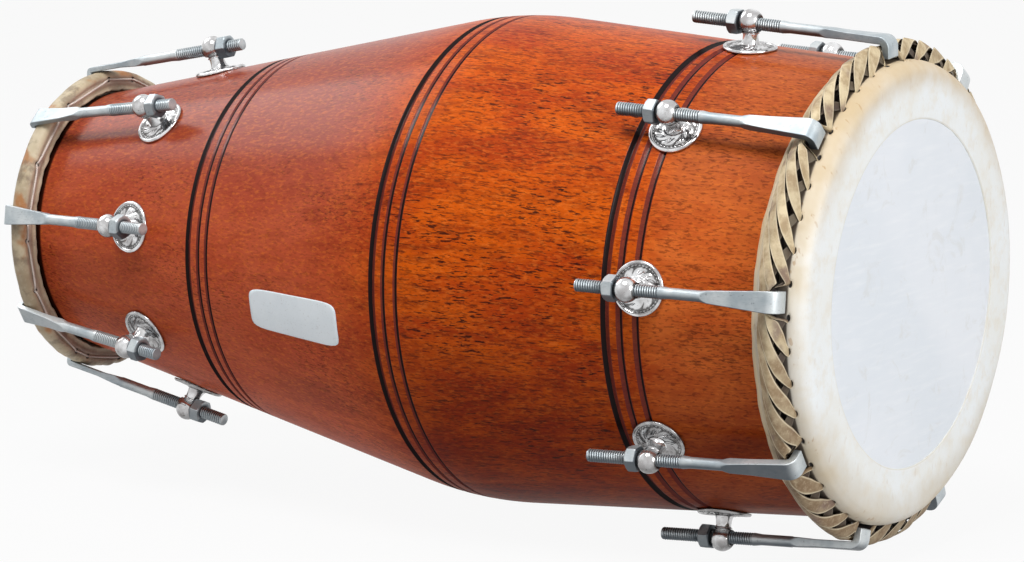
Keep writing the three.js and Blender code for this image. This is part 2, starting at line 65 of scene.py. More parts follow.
CAMERA_UP = (-0.0831, 0.1324, 0.9877)


def linked(name, data):
    """A new object in the scene."""
    thing = bpy.data.objects.new(name, data)
    bpy.context.collection.objects.link(thing)
    return thing


def stand(thing, place, side, rise):
    """Puts an object at a point, with its own x and y along two directions."""
    turn = Matrix(np.stack([side, rise, np.cross(side, rise)], axis=1).tolist())
    thing.matrix_world = Matrix.Translation(place) @ turn.to_4x4()


lens = bpy.data.cameras.new("camera")
lens.sensor_width = SENSOR
lens.lens = FOCAL_PIXELS * SENSOR / PHOTO_WIDTH
lens.clip_end = 50
camera = linked("camera", lens)
stand(camera, CAMERA_PLACE, CAMERA_RIGHT, CAMERA_UP)
bpy.context.scene.camera = camera
bpy.context.scene.view_settings.view_transform = "Standard"


class Signal:
    """A value that a material works out over a surface: sums and products add their own nodes."""

    def __init__(self, finish, socket):
        self.finish = finish
        self.socket = socket

    def sum_of(self, operation, *values):
        return self.finish.node("ShaderNodeMath", {"operation": operation}, dict(enumerate(values)))

    def __add__(self, other):
        return self.sum_of("ADD", self, other)

    __radd__ = __add__

    def __mul__(self, other):
        return self.sum_of("MULTIPLY", self, other)

    __rmul__ = __mul__

    def __sub__(self, other):
        return self.sum_of("SUBTRACT", self, other)

    def __rsub__(self, other):
        return self.sum_of("SUBTRACT", other, self)

    def __pow__(self, other):
        return self.sum_of("POWER", self, other)

    def size(self):
        return self.sum_of("ABSOLUTE", self)

    def most(self, other):
        return self.sum_of("MAXIMUM", self, other)

    def least(self, other):
        return self.sum_of("MINIMUM", self, other)

    def sine(self):
        return self.sum_of("SINE", self)

    def step(self, low, high):
        """Rises smoothly from 0 at low to 1 at high, or falls where low is the larger."""
        return self.finish.node(
            "ShaderNodeMapRange",
            {"interpolation_type": "SMOOTHSTEP"},
            {"Value": self, "From Min": low, "From Max": high},
        )


class Finish:
    """A material being mixed. What it is made of is set on its one glossy surface shader."""

    def __init__(self, name, **constants):
        self.material = bpy.data.materials.new(name)
        self.material.use_nodes = True
        self.tree = self.material.node_tree
        self.tree.nodes.clear()
        output = self.tree.nodes.new("ShaderNodeOutputMaterial")
        self.surface = self.tree.nodes.new("ShaderNodeBsdfPrincipled")
        self.tree.links.new(self.surface.outputs[0], output.inputs[0])
        self.set(**constants)

    def node(self, kind, settings=None, values=None, output=0):
        made = self.tree.nodes.new(kind)
        for key, value in (settings or {}).items():
            setattr(made, key, value)
        for key, value in (values or {}).items():
            self.feed(made.inputs[key], value)
        return Signal(self, made.outputs[output])

    def feed(self, socket, value):
        if isinstance(value, Signal):
            self.tree.links.new(value.socket, socket)
        elif socket.type == "RGBA":
            socket.default_value = (*value, 1.0)
        else:
            socket.default_value = value

    def set(self, **values):
        for key, value in values.items():
            self.feed(self.surface.inputs[key.replace("_", " ").title().replace("Ior", "IOR")], value)

    def place(self, stretch=(1, 1, 1), shift=(0, 0, 0)):
        """The point on the object, in metres, stretched along its axes."""
        here = self.node("ShaderNodeTexCoord", output="Object")
        return self.node("ShaderNodeMapping", None, {"Vector": here, "Scale": stretch, "Location": shift})

    def parts(self, vector):
        """The three numbers of a vector."""
        return [self.node("ShaderNodeSeparateXYZ", None, {"Vector": vector}, output=k) for k in range(3)]

    def lay(self):
        """The shares that a surface's rows and columns give each point, from the piece's own map."""
        return self.parts(self.node("ShaderNodeUVMap", {"uv_map": "Lay"}))[:2]

    def held(self, name):
        """A number that the mesh carries at each point."""
        return self.node("ShaderNodeAttribute", {"attribute_name": name}, output="Fac")

    def noise(self, scale, detail, roughness, distortion=0.0, stretch=(1, 1, 1), shift=(0, 0, 0)):
        """Soft patches over the object, about one metre divided by the scale across."""
        return self.node("ShaderNodeTexNoise", None, {
            "Vector": self.place(stretch, shift), "Scale": scale, "Detail": detail,
            "Roughness": roughness, "Distortion": distortion,
        })

    def mix(self, share, first, second):
        """The first colour where the share is 0, the second where it is 1."""
        # The node has a set of sockets for each kind of value, all with the same names, so those for
        # colours go by place
        return self.node("ShaderNodeMix", {"data_type": "RGBA"}, {0: share, 6: first, 7: second}, 2)

    def layers(self, tone, *coats):
        """A colour with others laid over it in turn. A coat is (share, red, green, blue)."""
        for share, *colour in coats:
            tone = self.mix(share, tone, paint(*colour))
        return tone

    def bump(self, height, distance, strength=1.0):
        self.set(normal=self.node(
            "ShaderNodeBump", None, {"Height": height, "Distance": distance, "Strength": strength},
        ))


def paint(red, green, blue):
    """A screen colour from 0 to 255 as the linear colour that a shader takes."""
    share = np.array([red, green, blue]) / 255
    return tuple(np.where(share <= 0.04045, share / 12.92, ((share + 0.055) / 1.055) ** 2.4).tolist())


FLOOR_DROP = 0.5 * MM
FLOOR_REACH = 6.0
FLOOR_SHOWN = 0.93
SHOWN_RAYS = ("Is Camera Ray", "Is Glossy Ray", "Is Transmission Ray")
BACKDROPS = (((0.95, 0.97, 1.0, 1), 0.22), ((1, 1, 1, 1), 1.0))

floor_height = cad_box[0][2] - FLOOR_DROP
floor_corners = np.array([(-1, -1), (1, -1), (1, 1), (-1, 1)]) * FLOOR_REACH
floor_mesh = bpy.data.meshes.new("floor")
floor_mesh.from_pydata([(x, y, floor_height) for x, y in floor_corners], [], [(0, 1, 2, 3)])
floor = linked("floor", floor_mesh)

paper = Finish("pale floor", base_color=paint(186, 186, 186), roughness=0.9)
camera_ray, glossy_ray, clear_ray = [paper.node("ShaderNodeLightPath", output=ray) for ray in SHOWN_RAYS]
seen = paper.node("ShaderNodeMixShader", None, {
    0: camera_ray.most(glossy_ray).most(clear_ray) * FLOOR_SHOWN,
    1: Signal(paper, paper.surface.outputs[0]),
    2: paper.node("ShaderNodeEmission", None, {"Color": (1, 1, 1)}),
})
paper.feed(paper.tree.nodes["Material Output"].inputs[0], seen)
floor_mesh.materials.append(paper.material)

world = bpy.data.worlds.new("studio")
world.use_nodes = True
bpy.context.scene.world = world
sky = world.node_tree
sky.nodes.clear()
path = sky.nodes.new("ShaderNodeLightPath")
shown_ray = path.outputs[SHOWN_RAYS[0]]
for ray in SHOWN_RAYS[1:]:
    either = sky.nodes.new("ShaderNodeMath")
    either.operation = "MAXIMUM"
    sky.links.new(shown_ray, either.inputs[0])
    sky.links.new(path.outputs[ray], either.inputs[1])
    shown_ray = either.outputs[0]
both = sky.nodes.new("ShaderNodeMixShader")
sky.links.new(shown_ray, both.inputs[0])
# The first backdrop lights the drum, and the second is what the picture shows
for k, (tint, strength) in enumerate(BACKDROPS, start=1):
    backdrop = sky.nodes.new("ShaderNodeBackground")
    backdrop.inputs["Color"].default_value = tint
    backdrop.inputs["Strength"].default_value = strength
    sky.links.new(backdrop.outputs[0], both.inputs[k])
sky.links.new(both.outputs[0], sky.nodes.new("ShaderNodeOutputWorld").inputs[0])


def unit(vector):
    """A direction of length one."""
    return vector / np.linalg.norm(vector, axis=-1, keepdims=True)


def softbox(name, place, target, size, watts):
    """A square lamp at one point that faces another."""
    lamp = bpy.data.lights.new(name, "AREA")
    lamp.shape = "SQUARE"
    lamp.size = size
    lamp.energy = watts
    away = unit(np.array(place) - target)
    side = unit(np.cross((0, 0, 1), away))
    stand(linked(name, lamp), place, side, np.cross(away, side))


DRUM_MIDDLE = (-0.24, 0.0, 0.0)
softbox("key", (-0.12, -1.0, 2.1), DRUM_MIDDLE, 0.9, 39)
softbox("head side", (1.9, -0.5, 0.7), (0.0, 0.0, 0.0), 1.1, 28)
softbox("left", (-1.7, 0.1, 1.2), DRUM_MIDDLE, 1.1, 10)

# Wooden shell. One log, turned outside to a straight rise, a rounded belly and a long cone,
# and bored through. Three bands of grooves are cut on the lathe and stained dark, then the
# whole is varnished a glossy red-orange through which the long grain shows.
SHELL_ENDS = (2.0, 482.6)
SEAT = (28.1, 109.9)
BELLY = (220.8, 123.2)
SMALL_RIM = 65.8
BELLY_BLEND = 175
WALL = 13.5
BASS_RIM = 108.6
GROOVES = (
    (102.0, 4.4, 1.5), (94.5, 3.5, 0.9), (86.0, 3.5, 0.9),
    (229.1, 3.8, 1.5), (222.3, 2.5, 0.9), (214.9, 2.5, 0.9),
    (358.5, 3.6, 1.5), (351.3, 2.5, 0.9), (345.5, 2.5, 0.9),
)
SHELL_AROUND = 180
UNDER_HIDE = 20.4


def drum_point(depth, radius, angle):
    """Depth behind the bass face, distance from the axis, and angle round it from the top."""
    depth, radius, angle = np.broadcast_arrays(depth, radius, angle)
    return np.stack([-depth, -radius * np.sin(angle), radius * np.cos(angle)], axis=-1) * MM


def wood_radius(depth):
    """Two straight lines that meet at the belly, with a circle that touches both rounding the corner."""
    depth = np.asarray(depth, float)
    rise = (BELLY[1] - SEAT[1]) / (BELLY[0] - SEAT[0])
    fall = (BELLY[1] - SMALL_RIM) / (SHELL_ENDS[1] - BELLY[0])
    along_rise = BELLY[1] + rise * (depth - BELLY[0])
    along_fall = BELLY[1] - fall * (depth - BELLY[0])
    up, low = np.arctan(rise), np.arctan(fall)
    reach = BELLY_BLEND * np.tan((up + low) / 2)
    start, end = BELLY[0] - reach * np.cos(up), BELLY[0] + reach * np.cos(low)
    middle = start + BELLY_BLEND * np.sin(up)
    height = BELLY[1] - reach * np.sin(up) - BELLY_BLEND * np.cos(up)
    arc = height + np.sqrt(np.maximum(BELLY_BLEND ** 2 - (depth - middle) ** 2, 0))
    return np.where(depth < start, along_rise, np.where(depth > end, along_fall, arc))


def grid_faces(rows, columns, rows_closed, columns_closed):
    """Row and column of the four corners of each face of a grid, not yet wrapped where it closes."""
    row, column = np.meshgrid(
        np.arange(rows if rows_closed else rows - 1),
        np.arange(columns if columns_closed else columns - 1),
        indexing="ij",
    )
    return (
        np.stack([row, row + 1, row + 1, row], axis=-1).reshape(-1, 4),
        np.stack([column, column, column + 1, column + 1], axis=-1).reshape(-1, 4),
    )


def make_piece(name, surfaces, finish, body, nodes=(), crease=None):
    """Joins surfaces into one object. A surface is (points, rows closed, columns closed, tone), and
    tone is a number, or one at each point, that the finish may read. The map holds row and column
    shares."""
    points, corners, shares, tones = [], [], [], []
    first = 0
    for grid, rows_closed, columns_closed, tone in surfaces:
        rows, columns = grid.shape[:2]
        row, column = grid_faces(rows, columns, rows_closed, columns_closed)
        corners.append(first + (row % rows) * columns + column % columns)
        shares.append(np.stack([row / rows, column / columns], axis=-1).reshape(-1, 2))
        points.append(grid.reshape(-1, 3))
        tones.append(np.broadcast_to(tone, (rows, columns)).reshape(-1))
        first += rows * columns
    points, corners = np.concatenate(points), np.concatenate(corners)
    mesh = bpy.data.meshes.new(name)
    mesh.from_pydata(points, [], corners)
    lay = mesh.uv_layers.new(name="Lay")
    lay.uv.foreach_set("vector", np.concatenate(shares).astype(np.float32).ravel())
    tone = mesh.attributes.new("tone", "FLOAT", "POINT")
    tone.data.foreach_set("value", np.concatenate(tones).astype(np.float32))
    joined = bmesh.new()
    joined.from_mesh(mesh)
    bmesh.ops.remove_doubles(joined, verts=joined.verts, dist=1e-6)
    joined.to_mesh(mesh)
    joined.free()
    mesh.shade_smooth()
    if crease:
        mesh.set_sharp_from_angle(angle=np.radians(crease))
    mesh.materials.append(finish.material)
    piece = linked(name, mesh)
    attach(piece, body)
    if nodes:
        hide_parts(*nodes)


def around(count):
    """Equal angles once round, the first not repeated."""
    return np.arange(count) * 2 * np.pi / count


def spun(line, count):
    """The two numbers of each point of a line and each angle round, as grids of the same form."""
    line = np.asarray(line, float)
    return np.broadcast_arrays(line[:, :1], line[:, 1:2], around(count)[None, :])


def turned(profile, count, tone=0.0):
    """A (depth, radius) line carried round the drum's axis."""
    return drum_point(*spun(profile, count)), True, True, tone


outside = [np.linspace(UNDER_HIDE, SHELL_ENDS[1] - 2.5, 92)]
for middle, width, _ in GROOVES:
    outside.append(middle + width * np.linspace(-0.62, 0.62, 21))
outside = np.unique(np.concatenate(outside))
outside_radius = wood_radius(outside)
stain = np.zeros_like(outside)
for middle, width, cut in GROOVES:
    # The share runs from -0.5 on a groove's bass side to 0.5 on its treble side. A deep one is black
    # over its treble half, a narrow one near its middle, and the rest is brown
    share = (outside - middle) / width
    deep = cut > 1
    lowest = 0.1 if deep else -0.18
    wall = np.where(share < lowest, (share + 0.5) / (lowest + 0.5), (0.5 - share) / (0.5 - lowest))
    outside_radius -= cut * np.clip(wall, 0, 1) ** 0.8
    black = (share > 0.12) & (share < 0.5) if deep else np.abs(share + 0.17) < (0.17 if width > 3 else 0.3)
    stain = np.where(np.abs(share) <= 0.5, np.maximum(stain, np.where(black, 1.0, 0.5)), stain)
shell_line = np.concatenate([
    [(SHELL_ENDS[0], BASS_RIM - 6), (SHELL_ENDS[0] + 2, BASS_RIM - 2), (8.2, BASS_RIM), (19.8, BASS_RIM)],
    np.stack([outside, outside_radius], axis=1),
    [(SHELL_ENDS[1] - 0.6, SMALL_RIM - 0.8), (SHELL_ENDS[1], SMALL_RIM - 2.4)],
    [(SHELL_ENDS[1], SMALL_RIM - WALL), (BELLY[0] + 20, BELLY[1] - WALL - 4.6)],
    [(BELLY[0] - 20, BELLY[1] - WALL - 1.5), (SHELL_ENDS[0], BASS_RIM - WALL)],
])
shell_tone = np.concatenate([np.zeros(4), stain, np.zeros(6)])[:, None]

wood = Finish("varnished wood", specular_ior_level=0.02, coat_roughness=0.2)
along_drum, _, height = wood.parts(wood.place())
cloud = wood.noise(15, 4, 0.62, 0.5, stretch=(1.0, 2.4, 2.4))
streak = wood.noise(26, 4, 0.6, 0.6, stretch=(1.0, 8.0, 8.0))
fine = wood.noise(240, 3, 0.6, stretch=(1.0, 3.2, 3.2), shift=(3, 1, 2))
pore = wood.noise(150, 2, 0.6, stretch=(1.0, 7.5, 7.5), shift=(0, 5, 1))
short_pore = wood.noise(310, 2, 0.5, stretch=(1.0, 3.4, 3.4), shift=(4, 3, 1))
belt = wood.noise(12, 3, 0.55, stretch=(1.0, 1.8, 1.8), shift=(7, 2, 4))
ring_marks = wood.noise(190, 3, 0.65, stretch=(5.0, 1.0, 1.0), shift=(2, 2, 9))
to_treble = along_drum.step(-0.212, -0.288)
to_rim = along_drum.step(-0.094, -0.07)
open_zone = along_drum.step(-0.235, -0.2) * along_drum.step(-0.084, -0.112)
# Painted shade: the wood grows darker and deeper red towards the bottom of the belly and cone, broken up by
# the cloud
wood_low_shade = height.step(0.01, -0.085) * along_drum.step(-0.27, -0.2) * (0.35 + cloud).least(1.0)
from_figure = (height + cloud * 0.02 + 0.053).size()
dark_figure = from_figure.step(0.012, 0.004) * along_drum.step(-0.33, -0.29) * to_treble
pores = pore.step(0.56, 0.62) * (belt.step(0.44, 0.6) * 0.6 + open_zone * 0.6).least(1.0)
plainer = 0.62 - to_rim * 0.36 - to_treble * 0.32
groove = wood.held("tone")
groove = groove + (ring_marks - 0.5) * groove.least(0.5) * 1.7
bright = wood.mix(to_treble, paint(208, 88, 8), paint(196, 88, 54))
bright = wood.mix(to_rim, bright, paint(214, 106, 44))
dull = wood.mix(to_treble, paint(172, 56, 10), paint(184, 74, 42))
wood.set(base_color=wood.layers(
    wood.mix(cloud.step(0.38, 0.62) * (0.85 - to_rim * 0.4), bright, dull),
    # Painted light on the upper side: the top of the cone is painted a darker, greyer red for the varnish
    # sheen there, and the top of the bass end darker against the light from above
    (height.step(0.0, 0.08) * to_treble * 0.7, 134, 54, 42),
    (height.step(0.025, 0.09) * to_rim * 0.5, 146, 70, 40),
    (streak.step(0.42, 0.75) * plainer, 112, 32, 8),
    (wood_low_shade * 0.82, 94, 16, 1),
    (dark_figure * 0.3, 96, 40, 34),
    (fine.step(0.46, 0.7) * (0.34 - wood_low_shade * 0.26), 236, 126, 44),
    (short_pore.step(0.54, 0.64) * (0.48 - to_treble * 0.24), 76, 24, 10),
    (pores * 0.88, 36, 14, 8),
    (groove.step(0.14, 0.42) * 0.85, 98, 42, 40),
    (groove.step(0.66, 0.86) * 0.95, 12, 14, 15),
    # Painted shadow: a near-black line round the treble end of the wood, in the gap under the hide's flank
    (along_drum.step(-0.4708, -0.4726) * 0.95, 14, 8, 6),
))
sheen = height.step(-0.115, -0.03) * 0.1 + height.step(0.0, 0.085) * (0.1 + to_treble * 0.24)
wood.set(roughness=0.36 + streak * 0.12, coat_weight=sheen)
wood.bump(streak * 0.25 + pore * 0.4 + short_pore * 0.35, 0.22 * MM, 0.35)
make_piece(
    "shell_wood", [turned(shell_line, SHELL_AROUND, shell_tone)], wood, "drum", ["shell"],
)

# Label. A small oblong of plain paper with rounded corners, glued to the front of the cone and
# left bare here.
LABEL_MIDDLE = (284.2, np.radians(101.0))
LABEL_HALF = (30.5, 10.9)
LABEL_LIFT = 0.12
LABEL_THICK = 0.18
LABEL_RINGS = 14
LABEL_SQUARENESS = 7


def drawn_out(turn, power):
    """A circle of radius one drawn out towards its corners: the distance to it at each angle."""
    return (np.abs(np.cos(turn)) ** power + np.abs(np.sin(turn)) ** power) ** (-1 / power)


def label_sheet():
    """A rounded oblong laid on the wood: rings that shrink to the middle, on the top and below."""
    ring = np.linspace(0, 1, LABEL_RINGS)
    out = np.concatenate([ring, ring[::-1]])[:, None]
    lift = LABEL_LIFT + LABEL_THICK * (np.arange(2 * LABEL_RINGS) >= LABEL_RINGS)[:, None]
    turn = around(72)[None, :]
    square = drawn_out(turn, LABEL_SQUARENESS)
    depth = LABEL_MIDDLE[0] + out * LABEL_HALF[0] * square * np.cos(turn)
    radius = wood_radius(depth)
    angle = LABEL_MIDDLE[1] + out * LABEL_HALF[1] * square * np.sin(turn) / wood_radius(LABEL_MIDDLE[0])
    return drum_point(depth, radius + lift, angle), False, True, 0.0


label = Finish("bare label paper", roughness=0.42, coat_weight=0.25, coat_roughness=0.3)
blot = label.noise(60, 4, 0.6)
fleck = label.noise(900, 2, 0.6, shift=(2, 0, 0))
label.set(base_color=label.layers(
    paint(240, 247, 251),
    (blot.step(0.35, 0.75) * 0.5, 224, 233, 239),
    (fleck.step(0.6, 0.72) * 0.25, 170, 168, 165),
))
label.bump(fleck, 0.05 * MM, 0.3)
make_piece("label", [label_sheet()], label, "drum")

# Bass playing skin. Thin scraped goat hide, stretched flat. Its CAD solid has the right form,
# so it only gets the hide's bluish white, faint veins and scrape marks.
hide = Finish("scraped hide", coat_weight=0.08, coat_roughness=0.4)
cloudy = hide.noise(9, 4, 0.55)
scrape = hide.noise(40, 4, 0.6, stretch=(6, 1.0, 9.0), shift=(1, 2, 3))
vein = hide.noise(55, 5, 0.65, 1.2, shift=(5, 5, 5))
hide.set(base_color=hide.layers(
    paint(233, 236, 241),
    (cloudy.step(0.32, 0.66), 224, 229, 235),
    (scrape.step(0.44, 0.8) * 0.45, 241, 243, 246),
    (vein.step(0.56, 0.7) * 0.3, 206, 204, 198),
))
hide.set(roughness=0.42 + scrape * 0.2)
hide.bump(scrape * 0.3 + vein * 0.5, 0.1 * MM, 0.3)


def dress(node, finish):
    """Gives a CAD node its finish."""
    materials = frame["nodes"][node].data.materials
    materials.clear()
    materials.append(finish.material)


dress("bass_head_skin", hide)

# Bass rim skin. A second, thicker hide with a round window, laid over the border of the first.
# It slopes back from the rim's edge to the braid, where one slit for each plait is punched, and
# its hem shows on the wood behind the braid.
PLAITS = 45
PLAIT_PITCH = 2 * np.pi / PLAITS
PLAIT_START = np.radians(8.5)
RIM_RADIUS = 111
SLIT_DEPTH = 6.9
SLIT_HALF = (0.95, 1.7)
RIM_AROUND = 768
RIM_LINE = (
    (0.1, 83.4), (-0.45, 83.5), (-0.66, 84.1), (-0.68, 87.0), (-0.7, 91.0), (-0.7, 95.0), (-0.7, 98.5),
    (-0.66, 101.0), (-0.55, 103.0), (-0.3, 104.9), (0.41, 106.9), (1.1, 107.9), (1.84, 108.8), (2.7, 109.6),
    (3.7, 110.2), (4.8, 110.7), (5.87, 111.05), (7.0, 111.3), (8.2, 111.4), (12.0, 111.4), (18.0, 111.5),
    (22.5, 111.9), (24.6, 112.2), (26.2, 112.3), (27.6, 112.0), (28.9, 111.5), (30.0, 111.2), (30.4, 110.7),
)
RIM_UNDER = (
    (30.0, 110.2), (24.0, 110.3), (16.0, 110.2), (8.2, 110.1), (5.3, 109.5), (2.8, 107.9), (1.0, 105.2),
    (0.4, 102.4), (0.35, 90.0),
)


def smooth_line(line, steps):
    """More points along a line, by a curve through its own points."""
    line = np.asarray(line, float)
    run = np.concatenate([[0], np.cumsum(np.linalg.norm(np.diff(line, axis=0), axis=1))])
    slope = np.gradient(line, run, axis=0)
    at = np.interp(np.linspace(0, len(line) - 1, steps), np.arange(len(line)), run)
    k = np.clip(np.searchsorted(run, at, side="right") - 1, 0, len(run) - 2)
    gap = (run[k + 1] - run[k])[:, None]
    t = ((at - run[k])[:, None]) / gap
    return (
        (2 * t ** 3 - 3 * t ** 2 + 1) * line[k] + (t ** 3 - 2 * t ** 2 + t) * gap * slope[k]
        + (3 * t ** 2 - 2 * t ** 3) * line[k + 1] + (t ** 3 - t ** 2) * gap * slope[k + 1]
    )


def wander(angle, seed, waves, size):
    """A smooth random line round the drum: a few sines of whole numbers of waves."""
    chance = np.random.default_rng(seed)
    total = np.zeros_like(angle)
    for count in waves:
        total = total + np.sin(count * angle + chance.uniform(0, 2 * np.pi)) * chance.uniform(0.5, 1.0)
    return size * total / np.sqrt(len(waves))


def hem_shift(angle):
    """How far the hem lies from its widest place: cut nearer to the rim on the upper front."""
    return -2.9 + 2.2 * np.cos(angle - np.radians(215))


def from_nearest(angle, start, pitch):
    """The angle from the nearest of a set of places at an even pitch round the drum."""
    return (angle - start + pitch / 2) % pitch - pitch / 2


def rim_skin():
    """The rim line carried round, pressed in at the slits, with a hem that wanders behind the braid."""
    top = smooth_line(RIM_LINE, 76)
    line = np.concatenate([top, np.array(RIM_UNDER)])
    depth, radius, angle = spun(line, RIM_AROUND)
    upper = np.concatenate([np.ones(len(top)), np.zeros(len(RIM_UNDER))])[:, None]
    ragged = wander(angle, 3, (2, 3, 5), 0.7) + wander(angle, 4, (17, 23, 31, 57), 0.3)
    depth = depth + np.clip((depth - 22) / 8, 0, 1) * (hem_shift(angle) + ragged)
    slope = upper * np.clip((radius - 100) / 8, 0, 1) * (depth < 8)
    depth = depth + slope * wander(angle, 5, (4, 7, 11), 0.28)
    depth = depth + upper * (radius < 100) * wander(angle, 6, (2, 3), 0.05)
    across = (from_nearest(angle, PLAIT_START, PLAIT_PITCH) * RIM_RADIUS + 0.5) / SLIT_HALF[1]
    along = (depth - SLIT_DEPTH) / SLIT_HALF[0]
    pit = upper * (depth < 9.4) * np.exp(-(across ** 2 + along ** 2) ** 2)
    return drum_point(depth + 0.6 * pit, radius - 1.0 * pit, angle), True, True, pit


kinar = Finish("rim hide", coat_weight=0.05, coat_roughness=0.4)
kx, ky, kz = kinar.parts(kinar.place())
from_axis = (ky * ky + kz * kz) ** 0.5
patch = kinar.noise(22, 4, 0.6)
mottle = kinar.noise(95, 4, 0.65, shift=(2, 6, 5))
hair = kinar.noise(330, 3, 0.6, stretch=(1, 5, 1.2), shift=(1, 1, 1))
flecks = kinar.noise(240, 2, 0.5, stretch=(1, 1.6, 0.6), shift=(3, 0, 2))
patchy_radius = from_axis + patch * 0.014
tan_share = patchy_radius.step(0.1105, 0.1215)
handled = kz.step(0.01, 0.11) * patchy_radius.step(0.1, 0.116)
# Darker tan towards the bottom, next to the braid
low_tan = kz.step(-0.03, -0.08) * (from_axis + patch * 0.02).step(0.1, 0.116)
# Painted shade: the rim hide is painted dark brown under the braid, where it shows between the straps
under_braid_shade = kx.step(-0.0072, -0.0082) * kx.step(-0.021, -0.018) * from_axis.step(0.1105, 0.1112)
window_line = (from_axis - 0.0838).size().step(0.0006, 0.0001)
kinar.set(base_color=kinar.layers(
    paint(238, 241, 242),
    (patch.step(0.3, 0.7) * 0.6, 234, 232, 224),
    (tan_share * 0.68, 216, 196, 158),
    (kx.step(-0.021, -0.0255) * (0.6 + patch * 0.4), 204, 178, 130),
    (mottle.step(0.44, 0.7) * 0.4, 226, 215, 195),
    (handled * (0.6 + mottle * 0.36), 200, 176, 138),
    (low_tan * 0.5, 190, 174, 146),
    (hair.step(0.55, 0.75) * 0.2, 214, 198, 172),
    (patch.step(0.5, 0.68) * tan_share * 0.5, 196, 172, 132),
    (flecks.step(0.64, 0.72) * (0.14 + tan_share * 0.6), 180, 142, 96),
    (under_braid_shade * 0.85, 66, 50, 40),
    (window_line * 0.4, 206, 196, 176),
    # Painted shade: near black in the punched slits
    (kinar.held("tone").step(0.25, 0.55), 20, 12, 8),
))
kinar.set(roughness=0.5 + hair * 0.15)
kinar.bump(patch * 0.5 + hair * 0.3 + flecks * 0.2, 0.3 * MM, 0.4)
make_piece("rim_skin", [rim_skin()], kinar, "drum", ["bass_rim_skin"])

# Braid. A flat strap of buffalo hide is laced through the slits and over a hoop in slanting
# turns. Each turn is broad over the hoop and narrow where it goes into its slit, and turns of
# the lower layer, painted darker as the shade beneath the upper ones, show between.
HOOK_START, HOOK_PITCH = np.radians(4.5), np.radians(40.0)
HOOP_LINE = (
    (4.5, 109.6), (6.2, 110.6), (7.2, 111.8), (8.2, 114.0), (9.4, 117.0), (10.8, 119.2), (12.6, 120.2),
    (15.0, 120.1), (17.5, 119.0), (20.0, 117.6), (22.5, 116.2), (24.6, 114.9), (26.4, 113.6), (28.0, 112.4),
)
HOOP_CREST = 12.6
HOOP_END = 28
PRINT_DEPTH = 1.7
# Half widths as angles: millimetres over the radius there
PRINT_HALF = 9 / 118
LIP_HALF = 7.1 / 112
LIP_CLEAR = 13.5
PLAIT_SPAN = np.radians(23.0)
PLAIT_TIP = 7.1
STRAP_THICK = 1.1


def braid_back(angle):
    """Depth of the braid's back edge, which follows the hem."""
    front = np.exp(-((angle % (2 * np.pi) - np.radians(108)) / np.radians(22)) ** 2)
    return 25.6 + 0.8 * hem_shift(angle) - 1.9 * front


def hoop_radius(depth, angle):
    """The arch over the hoop, pressed lower where a hook's blade crosses it."""
    line = smooth_line(HOOP_LINE, 90)
    from_hook = from_nearest(angle, HOOK_START, HOOK_PITCH) / PRINT_HALF
    pressed_down = PRINT_DEPTH * np.exp(-from_hook ** 4) * np.clip((depth - 8) / 5, 0, 1)
    behind_crest = (HOOP_END - HOOP_CREST) / (braid_back(angle) + 2.4 - HOOP_CREST)
    narrowed = HOOP_CREST + (depth - HOOP_CREST) * behind_crest
    return np.interp(np.where(depth > HOOP_CREST, narrowed, depth), line[:, 0], line[:, 1]) - pressed_down


def strap_turn(start, span, widths, lift, seed):
    """One turn: it goes round the drum evenly while its depth runs from the wood side to its slit in
    an S. Widths are shares of the pitch along it, and its section is a thin closed band with curled
    edges. It stays behind the hooks' lips."""
    chance = np.random.default_rng(seed)
    t = np.linspace(0, 1, 40)[:, None]
    section = around(16)[None, :]
    across = np.clip(1.25 * np.cos(section), -1, 1)
    face = np.sin(section)
    ease = t * t * (3 - 2 * t)
    bow = np.sin(np.pi * t)
    back = braid_back(start + span * (t - 1))
    depth = back - (back - PLAIT_TIP) * (0.55 * t + 0.45 * ease) + chance.uniform(-0.4, 0.4) * bow
    width = np.interp(t, np.linspace(0, 1, len(widths)), widths) * PLAIT_PITCH / 2
    width = width * (1 + 0.1 * np.sin(np.pi * (2 * t + chance.uniform(0, 2)))) * chance.uniform(0.9, 1.08)
    front = np.exp(-((start % (2 * np.pi) - np.radians(75)) / np.radians(38)) ** 2)
    width = width * (1.08 + 0.14 * np.clip(-np.cos(start), 0, 1) - 0.2 * front)
    angle = start + span * (t - 1) + across * width
    depth = depth + 0.6 * across * np.sign(span) * bow
    from_lip = from_nearest(angle, HOOK_START, HOOK_PITCH) / LIP_HALF
    depth = depth + np.exp(-from_lip ** 8) * np.maximum(LIP_CLEAR - depth, 0)
    radius = hoop_radius(depth, angle)
    tilt = 0.5 + chance.uniform(-0.4, 0.5) * bow
    curl = 0.35 * np.abs(across) ** 3 + tilt * across * bow ** 0.5
    rise = lift + curl + STRAP_THICK / 2 * face * (1 - 0.5 * np.abs(across) ** 4)
    rise = rise + 0.25 * np.sin(2 * np.pi * (1.3 * t + chance.uniform(0, 1)))
    sink = 1.5 * np.clip((t - 0.93) / 0.07, 0, 1) ** 2 + 1.2 * np.clip((0.1 - t) / 0.1, 0, 1) ** 1.5
    return drum_point(depth, radius + rise - sink, angle)


def closed_ends(grid):
    """Adds a point at each end of a tube of rings, so that it closes."""
    first = np.broadcast_to(grid[:1].mean(axis=1, keepdims=True), grid[:1].shape)
    last = np.broadcast_to(grid[-1:].mean(axis=1, keepdims=True), grid[-1:].shape)
    return np.concatenate([first, grid, last])


